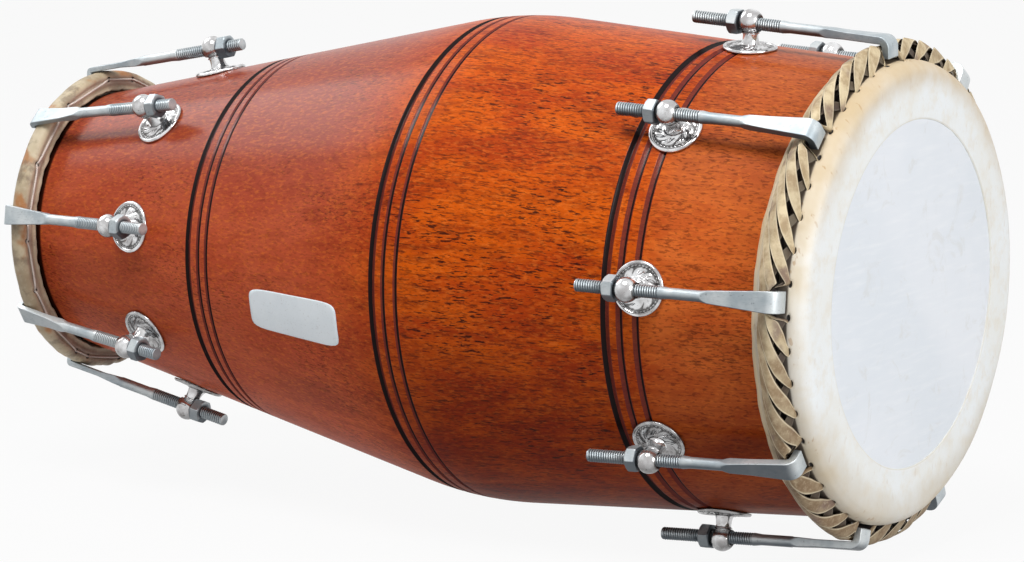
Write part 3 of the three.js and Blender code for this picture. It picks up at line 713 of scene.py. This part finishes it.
strap = Finish("hide strap", roughness=0.62, specular_ior_level=0.3)
across_strap = strap.lay()[1]
blotch = strap.noise(130, 4, 0.6)
fibres = strap.noise(520, 3, 0.65, shift=(4, 0, 1))
smear = strap.noise(45, 3, 0.5, shift=(9, 3, 0))
# Painted shade: the straps grow darker brown towards the bottom of the drum
strap_low_shade = strap.parts(strap.place())[2].step(0.03, -0.075)
from_edge = (across_strap * (2 * np.pi)).sine().size()
strap.set(base_color=strap.layers(
    paint(220, 202, 166),
    (blotch.step(0.35, 0.68), 174, 150, 116),
    (strap_low_shade * (0.4 + blotch * 0.5), 106, 78, 54),
    (smear.step(0.56, 0.66) * 0.6, 118, 94, 92),
    (fibres.step(0.5, 0.75) * 0.3, 228, 212, 180),
    # Painted highlight: a pale band along each strap's rounded edges
    (from_edge.step(0.82, 0.7) * 0.6, 240, 226, 194),
    # Painted shade: the very edges of each strap are dark
    (from_edge.step(0.62, 0.4) * 0.85, 72, 52, 36),
    # Painted shade on the hoop's core and the lower turns, and a little random darkening on the upper turns
    (strap.held("tone"), 38, 29, 28),
))
strap.bump(blotch * 0.5 + fibres * 0.5, 0.3 * MM, 0.5)

HOOP_CORE = (
    (12.7, 112.0), (12.6, 115.0), (13.4, 116.4), (15.0, 116.5), (17.5, 115.2), (20.0, 113.4), (22.0, 112.0),
)
UPPER_WIDTHS = (0.5, 0.84, 0.88, 0.8, 0.72, 0.66, 0.6, 0.5, 0.3)
LOWER_WIDTHS = (0.3, 0.42, 0.46, 0.46, 0.46, 0.46, 0.42, 0.34, 0.2)
# The hoop's core is painted near black, as painted shade in the gaps between the turns
plaits = [turned(HOOP_CORE, 180, 1.0)]
for k in range(PLAITS):
    slit = PLAIT_START + k * PLAIT_PITCH
    upper_turn = strap_turn(slit, PLAIT_SPAN, UPPER_WIDTHS, 0.2, 100 + k)
    lower_turn = strap_turn(slit + 0.7 * PLAIT_PITCH, -0.8 * PLAIT_SPAN, LOWER_WIDTHS, -1.9, 400 + k)
    # The upper turns get a little random darkening, and the lower turns are painted dark as the shade under
    # them
    plaits.append((closed_ends(upper_turn), False, True, 0.14 * ((7 * k) % 5) / 4))
    plaits.append((closed_ends(lower_turn), False, True, 0.84))
make_piece("braid_plaits", plaits, strap, "drum", ["bass_braid"])

# Treble head. One hide is wet-folded round an iron ring, sewn to itself behind it with a pale
# cord through awl holes, and left with a ragged edge against the wood. The face carries a
# round of black tuning paste.
FOLD_MIDDLE = (479.4, 73.9)
FOLD_RADIUS = 5.1
FOLD_SQUARENESS = 2.5
FLANK_DEPTH = 474.3
HOLE_RADIUS = 75.2
HOLE_SIZE = 1.3
CORD_RADIUS = 0.55
STITCHES = (3, 31, 36, 61, 85, 92, 113, 131, 152, 160, 181, 203, 226, 233, 254, 277, 299, 306, 328, 347)
TREBLE_AROUND = 720


def treble_line():
    """Half the section of the head: flat face, a round fold over the ring, the flank behind it."""
    turn = np.linspace(np.pi / 2, -np.pi / 2, 19)
    reach = FOLD_RADIUS * drawn_out(turn, FOLD_SQUARENESS)
    fold = FOLD_MIDDLE + np.stack([reach * np.sin(turn), reach * np.cos(turn)], axis=1)
    face = [(483.9, 0.0), (483.9, 20.0), (483.9, 49.4), (484.4, 49.8), (484.5, 51.0), (484.5, 63.0)]
    flank = [(474.35, 72.6), (474.5, 71.6), (474.4, 70.6), (474.2, 69.6), (474.5, 69.0), (475.0, 68.7)]
    under = [
        (475.6, 69.2), (475.8, 71.6), (475.9, 73.9), (476.9, 76.4), (479.4, 77.4), (481.9, 76.4),
        (482.85, 73.9), (483.0, 66.0), (483.0, 30.0), (483.0, 0.0),
    ]
    return np.concatenate([face, fold, flank]), np.array(under)


def treble_skin():
    """The half section carried round, with wrinkles on the fold, a crease along the seam, and a
    ragged edge."""
    top, under = treble_line()
    line = np.concatenate([smooth_line(top[5:], 46), under])
    line = np.concatenate([top[:5], line])
    depth, radius, angle = spun(line, TREBLE_AROUND)
    shown_part = (np.arange(len(line)) < len(line) - len(under))[:, None]
    fold = shown_part * np.clip((radius - 66) / 6, 0, 1)
    low = 0.5 - 0.5 * np.cos(angle - np.radians(10))
    wrinkle = wander(angle, 11, (9, 14, 22, 35), 0.22) + low ** 4 * wander(angle, 12, (41, 57, 73), 0.35)
    radius = radius + fold * wrinkle
    behind = shown_part * (depth < 476.2) * (radius < 77.5)
    seam = behind * np.exp(-((radius - 74.6) / 0.9) ** 2)
    depth = depth + 0.7 * seam
    ragged = behind * np.clip((71.0 - radius) / 1.6, 0, 1)
    radius = radius + ragged * wander(angle, 13, (19, 37, 61, 97), 0.32)
    depth = depth - ragged * (0.5 + wander(angle, 14, (13, 29, 47), 0.3))
    pit = np.zeros_like(depth)
    for stitch in np.radians(STITCHES):
        beside = from_nearest(angle, stitch, 2 * np.pi) * HOLE_RADIUS / HOLE_SIZE
        above = (radius - HOLE_RADIUS) / HOLE_SIZE
        pit = np.maximum(pit, behind * np.exp(-(beside ** 2 + above ** 2) ** 2))
    depth = depth + 1.1 * pit
    return drum_point(depth, radius, angle), False, True, pit


sewn = Finish("sewn hide", roughness=0.55, coat_weight=0.06, coat_roughness=0.4)
sx, sy, sz = sewn.parts(sewn.place())
ring_radius = (sy * sy + sz * sz) ** 0.5
damp = sewn.noise(26, 4, 0.6)
rust = sewn.noise(48, 3, 0.55, shift=(3, 8, 1))
soil = sewn.noise(75, 4, 0.65, shift=(6, 1, 4))
pelt = sewn.noise(420, 3, 0.6, shift=(2, 2, 6))
outer_part = ring_radius.step(0.0745, 0.0775)
on_flank = sx.step(-0.4771, -0.4758)
# Painted shade: a purple-grey band in the crease along the seam on the flank
seam_crease_shade = (ring_radius - 0.0738).size().step(0.0042, 0.0008) * on_flank
raw_edge = ring_radius.step(0.0708, 0.0698) * on_flank
sewn.set(base_color=sewn.layers(
    paint(200, 184, 154),
    (damp.step(0.38, 0.62), 158, 138, 110),
    (rust.step(0.52, 0.62) * (0.15 + outer_part * 0.65), 170, 104, 40),
    (soil.step(0.5, 0.64) * 0.65, 116, 98, 80),
    (seam_crease_shade * 0.55, 158, 134, 126),
    (raw_edge * 0.6, 190, 172, 150),
    (pelt.step(0.5, 0.75) * 0.2, 216, 206, 188),
    (sx.step(-0.4825, -0.4835) * 0.75, 228, 224, 214),
    # Painted shade: near black in the awl holes
    (sewn.held("tone").step(0.12, 0.45), 12, 8, 6),
))
sewn.bump(damp * 0.4 + soil * 0.35 + pelt * 0.25, 0.35 * MM, 0.5)
make_piece("treble_skin", [treble_skin()], sewn, "drum", ["treble_head_skin"])


def tube(points, normal, radius, sides=8):
    """A round of the given radius carried along points. Its section lies across the path, set out
    from one normal."""
    run = unit(np.gradient(points, axis=0))
    side = unit(np.cross(run, normal))
    rise = np.cross(side, run)
    turn = around(sides)[None, :, None]
    return points[:, None] + radius * (np.cos(turn) * side[:, None] + np.sin(turn) * rise[:, None])


def stitch_cord():
    """Straight runs from hole to hole on the flank, each bowed off the hide and diving at its ends."""
    runs = []
    marks = np.radians(STITCHES + (STITCHES[0] + 360,))
    for start, end in zip(marks[:-1], marks[1:]):
        t = np.linspace(0, 1, 18)
        angle = start + (end - start) * t
        chord = HOLE_RADIUS * np.cos((end - start) / 2) / np.cos(angle - (start + end) / 2)
        lift = 0.4 * (1 - (2 * t - 1) ** 8) - 0.9 * (2 * t - 1) ** 8
        path_points = drum_point(FLANK_DEPTH + 0.35 - lift, chord, angle)
        runs.append((closed_ends(tube(path_points, (1, 0, 0), CORD_RADIUS * MM)), False, True, 0.0))
    return runs


cord = Finish("waxed sewing cord", roughness=0.6)
along_cord, round_cord = cord.lay()
strand = ((along_cord * 40 + round_cord) * (2 * np.pi)).sine()
wax = cord.noise(160, 3, 0.6)
cord.set(base_color=cord.layers(
    paint(226, 214, 204),
    (wax.step(0.4, 0.75) * 0.5, 168, 150, 140),
    (strand.step(0.2, 1.0) * 0.3, 150, 134, 130),
))
cord.bump(strand, 0.12 * MM, 0.5)
make_piece("treble_stitching", stitch_cord(), cord, "drum")


PASTE_LINE = (
    (485.7, 0), (485.7, 12.0), (485.68, 24.0), (485.6, 31.0), (485.3, 33.0), (484.7, 35.0), (484.2, 36.6),
    (483.95, 37.2), (483.7, 36.5), (483.7, 0),
)


def paste_cake():
    """A low round cake: flat on top, with a bevelled border that runs out on the hide."""
    depth, radius, angle = spun(PASTE_LINE, 120)
    radius = radius * (1 + 0.004 * wander(angle, 21, (3, 5, 8), 1.0))
    return drum_point(depth, radius, angle), False, True, 0.0


soot = Finish("black tuning paste")
crazing = soot.node(
    "ShaderNodeTexVoronoi", {"feature": "DISTANCE_TO_EDGE"}, {"Vector": soot.place(), "Scale": 620.0},
)
burnish = soot.noise(40, 4, 0.6)
soot.set(base_color=soot.layers(
    paint(30, 29, 31),
    (burnish.step(0.35, 0.7), 46, 45, 48),
    (crazing.step(0.09, 0.03) * 0.8, 12, 11, 12),
))
soot.set(roughness=0.38 + burnish * 0.25)
soot.bump(crazing.step(0.0, 0.12), 0.15 * MM, 0.6)
make_piece("treble_paste", [paste_cake()], soot, "drum")

# Iron ring. A bent rod inside the fold of the treble head. It shows nowhere, so the CAD solid
# only gets bare iron with rust.
iron = Finish("bare iron", metallic=0.9)
scale_marks = iron.noise(120, 4, 0.6)
iron.set(base_color=iron.layers(paint(92, 88, 84), (scale_marks.step(0.4, 0.65), 112, 74, 50)))
iron.set(roughness=0.5 + scale_marks * 0.3)
iron.bump(scale_marks, 0.2 * MM, 0.5)
dress("treble_iron_ring", iron)

# Eye posts. A pressed plate with a beaded edge and a flower carries a turned post with a ball,
# bored for the hook. A stud goes through the wood to a nut inside. All are nickel plated.
FOOT_DEPTHS = {"bass": 84.4, "treble": 402.2}
BALL_RADIUS = 6.05
BALL_RISE = 0.85
BALL_HALF = 4.9
BORE = 3.5
PETALS = 8
FOOT_REACH = 1.2
SETS = 9


def axes_at(nut):
    """Middle of the eye's hole, and the rod's own axes, from the joint that the nut turns on."""
    joint = next(j for j in frame["joints"] if j["child"] == nut)
    middle = np.array(joint["pos_m"])
    along = -np.array(joint["axis"])
    out = middle * (0, 1, 1)
    out = unit(out - along * (out @ along))
    return middle, np.stack([along, np.cross(out, along), out])


def carried(local, middle, axes):
    """Points in millimetres along three axes, carried to their place on the drum."""
    return middle + MM * (local @ axes)


def upright(line, count, warp=None):
    """A (radius, height) line carried round its own upright axis."""
    radius, height, turn = spun(line, count)
    if warp:
        radius, height = warp(radius, height, turn)
    return np.stack([radius * np.cos(turn), radius * np.sin(turn), height], axis=-1)


def pressed(radius, height, turn):
    """Raises a flower of petals with a fine rope bead round it, on the top of the plate only."""
    top = height > 0.9
    swirl = turn + 0.12 * (radius - 8.0)
    ring = np.exp(-((radius - 7.9) / 2.0) ** 4)
    petal = np.abs(np.cos(PETALS / 2 * swirl))
    vein = 1 - 0.55 * np.exp(-((petal - 1) / 0.03) ** 2)
    rope = np.exp(-((radius - 10.8) / 0.35) ** 2) * (0.65 + 0.35 * np.cos(36 * turn))
    return radius, height + top * (0.85 * ring * petal ** 1.2 * vein + 0.45 * rope)


PLATE_LINE = (
    (0.0, 0.35), (6.0, 0.35), (12.6, 0.3), (13.15, 0.45), (13.25, 0.9), (13.1, 1.35), (12.7, 1.75),
    (12.2, 1.9), (11.8, 1.75), (11.5, 1.4), (11.25, 1.12), (11.0, 1.05), (10.8, 1.05), (10.6, 1.05),
    (10.3, 1.05), (9.9, 1.05), (9.4, 1.08), (8.9, 1.12), (8.4, 1.16), (7.8, 1.2), (7.2, 1.26), (6.7, 1.36),
    (6.2, 1.55), (5.8, 1.9), (5.5, 2.25), (5.0, 2.35), (4.4, 2.5), (3.0, 2.6), (0.0, 2.6),
)
STUD_LINE = ((0.0, -18.9), (6.0, -18.9), (6.0, -14.1), (3.2, -14.0), (3.2, 0.6), (0.0, 0.6))
POST_LINE = (
    (0.0, 0.0), (5.4, 0.0), (5.3, 0.5), (4.7, 1.1), (4.2, 2.2), (3.9, 3.6), (3.75, 5.2), (3.8, 6.2),
    (4.3, 6.5), (4.4, 6.9), (4.0, 7.3), (3.0, 7.4), (0.0, 7.4),
)
# Dirt and painted shade at the post's foot, where it meets the plate, and at its collar under the ball
POST_DIRT_AND_SHADE = np.array([0.9, 0.9, 0.7, 0.1, 0, 0, 0, 0, 0, 0, 0.3, 0.6, 0.6])[:, None]


def eye_ball():
    """A ball with a bore, as rings round the bore: its distance from the bore's axis is where the
    ball's sphere is met, never less than a thin wall, and the last rings line the bore."""
    share = np.sin(np.linspace(-np.pi / 2, np.pi / 2, 22))[:, None]
    along = share * BALL_HALF
    turn = around(40)[None, :]
    rise = np.sin(turn)
    level = BALL_RADIUS ** 2 - along ** 2 - (BALL_RISE * np.cos(turn)) ** 2
    distance = np.maximum(BALL_RISE * rise + np.sqrt(np.maximum(level, 0)), BORE + 0.35)
    inner = np.array([BALL_HALF - 0.3, -BALL_HALF + 0.3])[:, None] + np.zeros_like(turn)
    along = np.concatenate([along + np.zeros_like(turn), inner])
    distance = np.concatenate([distance, np.full((2, turn.size), BORE)])
    # Grease and painted shade in the bore and round its mouths
    bore_grease_and_shade = (np.abs(along) > BALL_HALF - 0.35) * 1.0
    return np.stack([along, distance * np.cos(turn), distance * np.sin(turn)], axis=-1), bore_grease_and_shade


def hollow_dirt_and_shade(height):
    """How much dirt and painted shade lie on the plate: all of it in the low ground of the flower."""
    top = (height > 0.98) & (height < 2.2)
    return top * np.clip((1.44 - height) / 0.26, 0, 1)


def painted_shade_by_facing(facing):
    """Painted shade by the way a face looks: none on the top, half on the sides and all of it
    underneath, and less on faces that look along the drum."""
    return np.clip((0.55 - facing[..., 2] - 0.5 * np.abs(facing[..., 0])) / 1.1, 0, 1)


def underside(points):
    """The same painted shade on a ball or a post, where each point faces away from the middle of its ring.
    """
    ring = points - points.mean(axis=1, keepdims=True)
    return painted_shade_by_facing(ring / np.maximum(np.linalg.norm(ring, axis=-1, keepdims=True), 1e-9))


nickel = Finish("nickel plate", metallic=0.86)
bloom = nickel.noise(150, 2, 0.5)
wear = nickel.noise(650, 3, 0.6, shift=(3, 3, 3))
nickel_dirt_and_shade = nickel.held("tone").step(0.1, 0.9) * (0.55 + wear * 0.6)
nickel.set(base_color=nickel.layers(
    paint(238, 239, 240),
    (bloom.step(0.3, 0.66), 186, 184, 184),
    (wear.step(0.6, 0.7) * 0.4, 116, 104, 98),
    # Dirt and painted shade, near black where the mesh's tone says: the flower's low ground, the post's
    # ends, the ball's bore and the undersides
    (nickel_dirt_and_shade.least(1.0) * 0.95, 34, 29, 26),
))
nickel.set(roughness=0.08 + bloom * 0.08 + wear.step(0.6, 0.75) * 0.25 + nickel_dirt_and_shade * 0.2)
nickel.bump(wear, 0.05 * MM, 0.3)

for end, foot_depth in FOOT_DEPTHS.items():
    foot_radius = wood_radius(foot_depth)
    slope = (wood_radius(foot_depth + 1) - wood_radius(foot_depth - 1)) / 2
    for k in range(1, SETS + 1):
        middle, axes = axes_at(f"{end}_nut_{k}")
        angle = np.arctan2(-middle[1], middle[2])
        foot = drum_point(foot_depth, foot_radius, angle)
        ahead = unit(drum_point(foot_depth + 1, foot_radius + slope, angle) - foot)
        side = np.array([0, -np.cos(angle), -np.sin(angle)])
        normal = np.cross(ahead, side)
        foot_axes = np.stack([ahead, side, normal])
        plate = upright(PLATE_LINE, 120, pressed)
        # Dirt and painted shade in the flower's low ground, and painted shade on plates that face down
        plate_dirt_shade = np.maximum(hollow_dirt_and_shade(plate[..., 2]), 0.55 * painted_shade_by_facing(normal))
        plate[..., 2] -= 0.8 * plate[..., 1] ** 2 / (2 * foot_radius)
        post_up = unit(middle - foot)
        post_side = unit(np.cross(post_up, axes[0]))
        post_axes = np.stack([np.cross(post_side, post_up), post_side, post_up])
        post = carried(upright(POST_LINE, 32), foot + FOOT_REACH * MM * post_up, post_axes)
        ball, bore_grease_and_shade = eye_ball()
        ball = carried(ball, middle, np.stack([axes[0], post_side, np.cross(axes[0], post_side)]))
        make_piece(
            f"{end}_post_{k}",
            [
                (carried(plate, foot, foot_axes), False, True, plate_dirt_shade),
                (carried(upright(STUD_LINE, 16), foot, foot_axes), False, True, 0.0),
                (post, False, True, np.maximum(POST_DIRT_AND_SHADE, 0.6 * underside(post))),
                (ball, True, True, np.maximum(bore_grease_and_shade, 0.62 * underside(ball))),
            ],
            nickel, "drum", [f"{end}_lug_{k}"], 40,
        )

# Hooks. A quarter inch rod with a rolled thread on its tail, hammered flat towards the head into
# a blade that widens to its bend and turns in over the edge. Zinc plated.
THREAD_RADIUS = 3.175
THREAD_PITCH = 1.27
THREAD_CUT = 0.66
SHANK_RADIUS = 2.7
BLADE_HALF_WIDTH = 5.1
BLADE_TAPER = 14.0
BLADE_CORNER = 0.42
BLADE_START = 0.93 * SHANK_RADIUS
END_CHAMFER = 0.35
# dark is the share of painted underside shade on each end's hooks
HOOK_SIZES = {
    "bass": {"threaded": 17.5, "shank": 38.0, "half": 1.9, "bend": 3.6, "lip": 5.2, "dark": 0.9},
    "treble": {"threaded": 23.0, "shank": 46.0, "half": 1.4, "bend": 1.8, "lip": 1.8, "dark": 0.55},
}


def reach_of(node, middle, along):
    """How far a CAD node reaches each way along a direction from a point, in millimetres."""
    mesh = frame["nodes"][node].data
    spots = np.empty(len(mesh.vertices) * 3)
    mesh.vertices.foreach_get("co", spots)
    reach = (spots.reshape(-1, 3) - middle) @ along / MM
    return reach.min(), reach.max()


def ease_between(value, low, high):
    """0 below low, 1 above high, and smooth between."""
    share = np.clip((value - low) / (high - low), 0, 1)
    return share * share * (3 - 2 * share)


def section_of(half_width, half_thick, corner, count=9):
    """A round or an oblong: four quarter circles of the corner's radius, set out from the middle."""
    quarter = np.arange(4 * count) // count
    turn = (np.arange(4 * count) % count) / (count - 1) * np.pi / 2 + quarter * np.pi / 2
    right_side = np.where((quarter == 0) | (quarter == 3), 1, -1)[None, :]
    upper_side = np.where(quarter < 2, 1, -1)[None, :]
    across = right_side * (half_width - corner) + corner * np.cos(turn)[None, :]
    over = upper_side * (half_thick - corner) + corner * np.sin(turn)[None, :]
    return across, over, turn[None, :]


def hook_bar(tail, tip, lean, sizes):
    """A bar along a path that runs straight, bends through a quarter turn less the rod's lean, and
    ends in the lip. Its section is a round with a screw wave on it, then an oblong with small
    corners that starts as a filed flat. Also gives where the roots of the thread are, and the way
    that each point faces."""
    keys = ("half", "shank", "bend", "lip", "threaded")
    half, shank, bend, lip, thread_end = (sizes[key] for key in keys)
    bend_turn = np.pi / 2 - lean
    bend_start = tip - (bend + half) * np.cos(lean) - lip * np.sin(lean)
    straight = np.concatenate([
        np.arange(tail, thread_end, THREAD_PITCH / 6),
        np.linspace(thread_end, shank, 6),
        shank + BLADE_TAPER * np.array([0.03, 0.08, 0.16, 0.28, 0.42, 0.6, 0.8, 1.0]),
        np.linspace(shank + BLADE_TAPER, bend_start, 6)[1:],
    ])
    arc = np.linspace(0, bend_turn, 10)[1:]
    past_bend = np.concatenate([0 * arc, np.linspace(0, lip - BLADE_CORNER, 4)[1:], [lip]])
    swing = np.concatenate([arc, np.full(past_bend.size - arc.size, bend_turn)])
    run = np.concatenate([straight, bend_start + bend * swing + past_bend])[:, None]
    x = np.concatenate([straight, bend_start + bend * np.sin(swing) + past_bend * np.cos(swing)])[:, None]
    z = np.concatenate([0 * straight, bend * (np.cos(swing) - 1) - past_bend * np.sin(swing)])[:, None]
    swing = np.concatenate([0 * straight, swing])[:, None]
    on_thread = ease_between(run, tail, tail + 1.0) * (1 - ease_between(run, thread_end - 0.8, thread_end))
    bar_radius = np.where(run <= thread_end, THREAD_RADIUS - 0.25 * (run < tail + 0.3), SHANK_RADIUS)
    flat_share = np.clip((run - shank) / BLADE_TAPER, 0, 1)
    spread = np.clip((run - shank) / (bend_start - shank), 0, 1)
    on_blade = run > shank
    chamfer = END_CHAMFER * (run >= run[-1])
    half_width = np.where(on_blade, SHANK_RADIUS + (BLADE_HALF_WIDTH - SHANK_RADIUS) * spread, bar_radius)
    half_thick = np.where(on_blade, BLADE_START + (half - BLADE_START) * flat_share, bar_radius)
    still_round = (1 - np.clip(flat_share / 0.3, 0, 1)) ** 1.5
    corner = np.where(on_blade, BLADE_CORNER + (BLADE_START - BLADE_CORNER) * still_round, bar_radius)
    corner = np.minimum(corner, half_thick)
    across, over, turn = section_of(half_width - chamfer, half_thick - chamfer, corner)
    phase = (run / THREAD_PITCH - turn / (2 * np.pi)) % 1
    root = on_thread * (1 - np.abs(2 * phase - 1))
    thinner = 1 - THREAD_CUT * root / THREAD_RADIUS
    across, over = across * thinner, over * thinner
    grid = np.stack([x + over * np.sin(swing), across, z + over * np.cos(swing)], axis=-1)
    root = np.concatenate([root[:1] * 0, root, root[-1:] * 0])
    outward = np.sin(turn)
    facing = np.stack([outward * np.sin(swing), np.cos(turn) + 0 * swing, outward * np.cos(swing)], axis=-1)
    return closed_ends(grid), root, np.concatenate([facing[:1], facing, facing[-1:]])


zinc = Finish("zinc plate", metallic=0.6)
zinc_cloud = zinc.noise(45, 4, 0.6)
brushed = zinc.noise(260, 3, 0.6, stretch=(1, 7, 7), shift=(2, 1, 0))
specks = zinc.noise(480, 3, 0.65, shift=(6, 6, 1))
zinc.set(base_color=zinc.layers(
    paint(208, 213, 214),
    (zinc_cloud.step(0.35, 0.7), 164, 175, 181),
    (brushed.step(0.5, 0.8) * 0.35, 118, 128, 134),
    (specks.step(0.62, 0.74) * 0.5, 98, 98, 96),
    # Painted shade where the mesh's tone says: thread roots, undersides, and, with grease, the nuts' faces
    # and bores
    (zinc.held("tone").step(0.1, 0.9) * 0.85, 36, 47, 58),
))
zinc.set(roughness=0.3 + zinc_cloud * 0.14 + brushed * 0.08)
zinc.bump(brushed * 0.6 + specks * 0.4, 0.08 * MM, 0.35)

for end, sizes in HOOK_SIZES.items():
    for k in range(1, SETS + 1):
        node = f"{end}_hook_{k}"
        middle, axes = axes_at(f"{end}_nut_{k}")
        tail, tip = reach_of(node, middle, axes[0])
        lean = np.arcsin(-axes[0] @ unit(middle * (0, 1, 1)))
        bar, root, facing = hook_bar(tail, tip, lean, sizes)
        bar = carried(bar, middle, axes)
        # Painted shade in the thread's roots and on the bar's underside
        dark = np.maximum(root, sizes["dark"] * painted_shade_by_facing(facing @ axes))
        make_piece(f"{node}_bar", [(bar, False, True, dark)], zinc, node, [node], 28)

# Nuts. Hexagon nuts of zinc plated steel with chamfered corners, one screwed on the tail of each
# hook against its eye, so that it pulls the hook through.
NUT_HALF_FLATS = 5.55
NUT_BORE = 3.3
NUT_CHAMFER = ((0.0, 4.4), (0.0, 5.65), (0.3, 6.0), (0.6, 6.3), (0.9, 9.0))
# Grease and painted shade on the nut's faces and in its bore
NUT_GREASE_AND_SHADE = np.array([1.0, 1.0, 0.5, 0, 0, 0, 0, 0, 0.5, 0.9, 0.9, 0.9])[:, None]


def hexagon_nut(near, far):
    """Rings round the rod: a flat face, a chamfer that trims the corners, six flats, the same again,
    and the bore. Also gives the way that each flat faces."""
    turn = around(72)[None, :]
    flats = NUT_HALF_FLATS / np.cos((turn % (np.pi / 3)) - np.pi / 6)
    drop, limit = np.array(NUT_CHAMFER).T
    along = np.concatenate([near - drop, far + drop[::-1]])[:, None]
    radius = np.minimum(flats, np.concatenate([limit, limit[::-1]])[:, None])
    bore = np.full((2, turn.size), NUT_BORE)
    along = np.concatenate([along, np.array([[far], [near]])]) + np.zeros_like(turn)
    radius = np.concatenate([radius, bore])
    grid = np.stack([-along, radius * np.cos(turn), radius * np.sin(turn)], axis=-1)[::-1] * (-1, 1, 1)
    flat_turn = (np.floor(turn / (np.pi / 3)) + 0.5) * np.pi / 3
    return grid, np.stack([0 * flat_turn, np.cos(flat_turn), np.sin(flat_turn)], axis=-1)


for end in HOOK_SIZES:
    for k in range(1, SETS + 1):
        node = f"{end}_nut_{k}"
        middle, axes = axes_at(node)
        far, near = reach_of(node, middle, axes[0])
        nut, facing = hexagon_nut(near, far)
        nut = carried(nut, middle, axes)
        # Grease and painted shade on the faces and bore, and painted shade on the flats that face down
        dark = np.maximum(NUT_GREASE_AND_SHADE, 0.85 * painted_shade_by_facing(facing @ axes))
        make_piece(f"{node}_hex", [(nut, True, True, dark)], zinc, node, [node], 30)
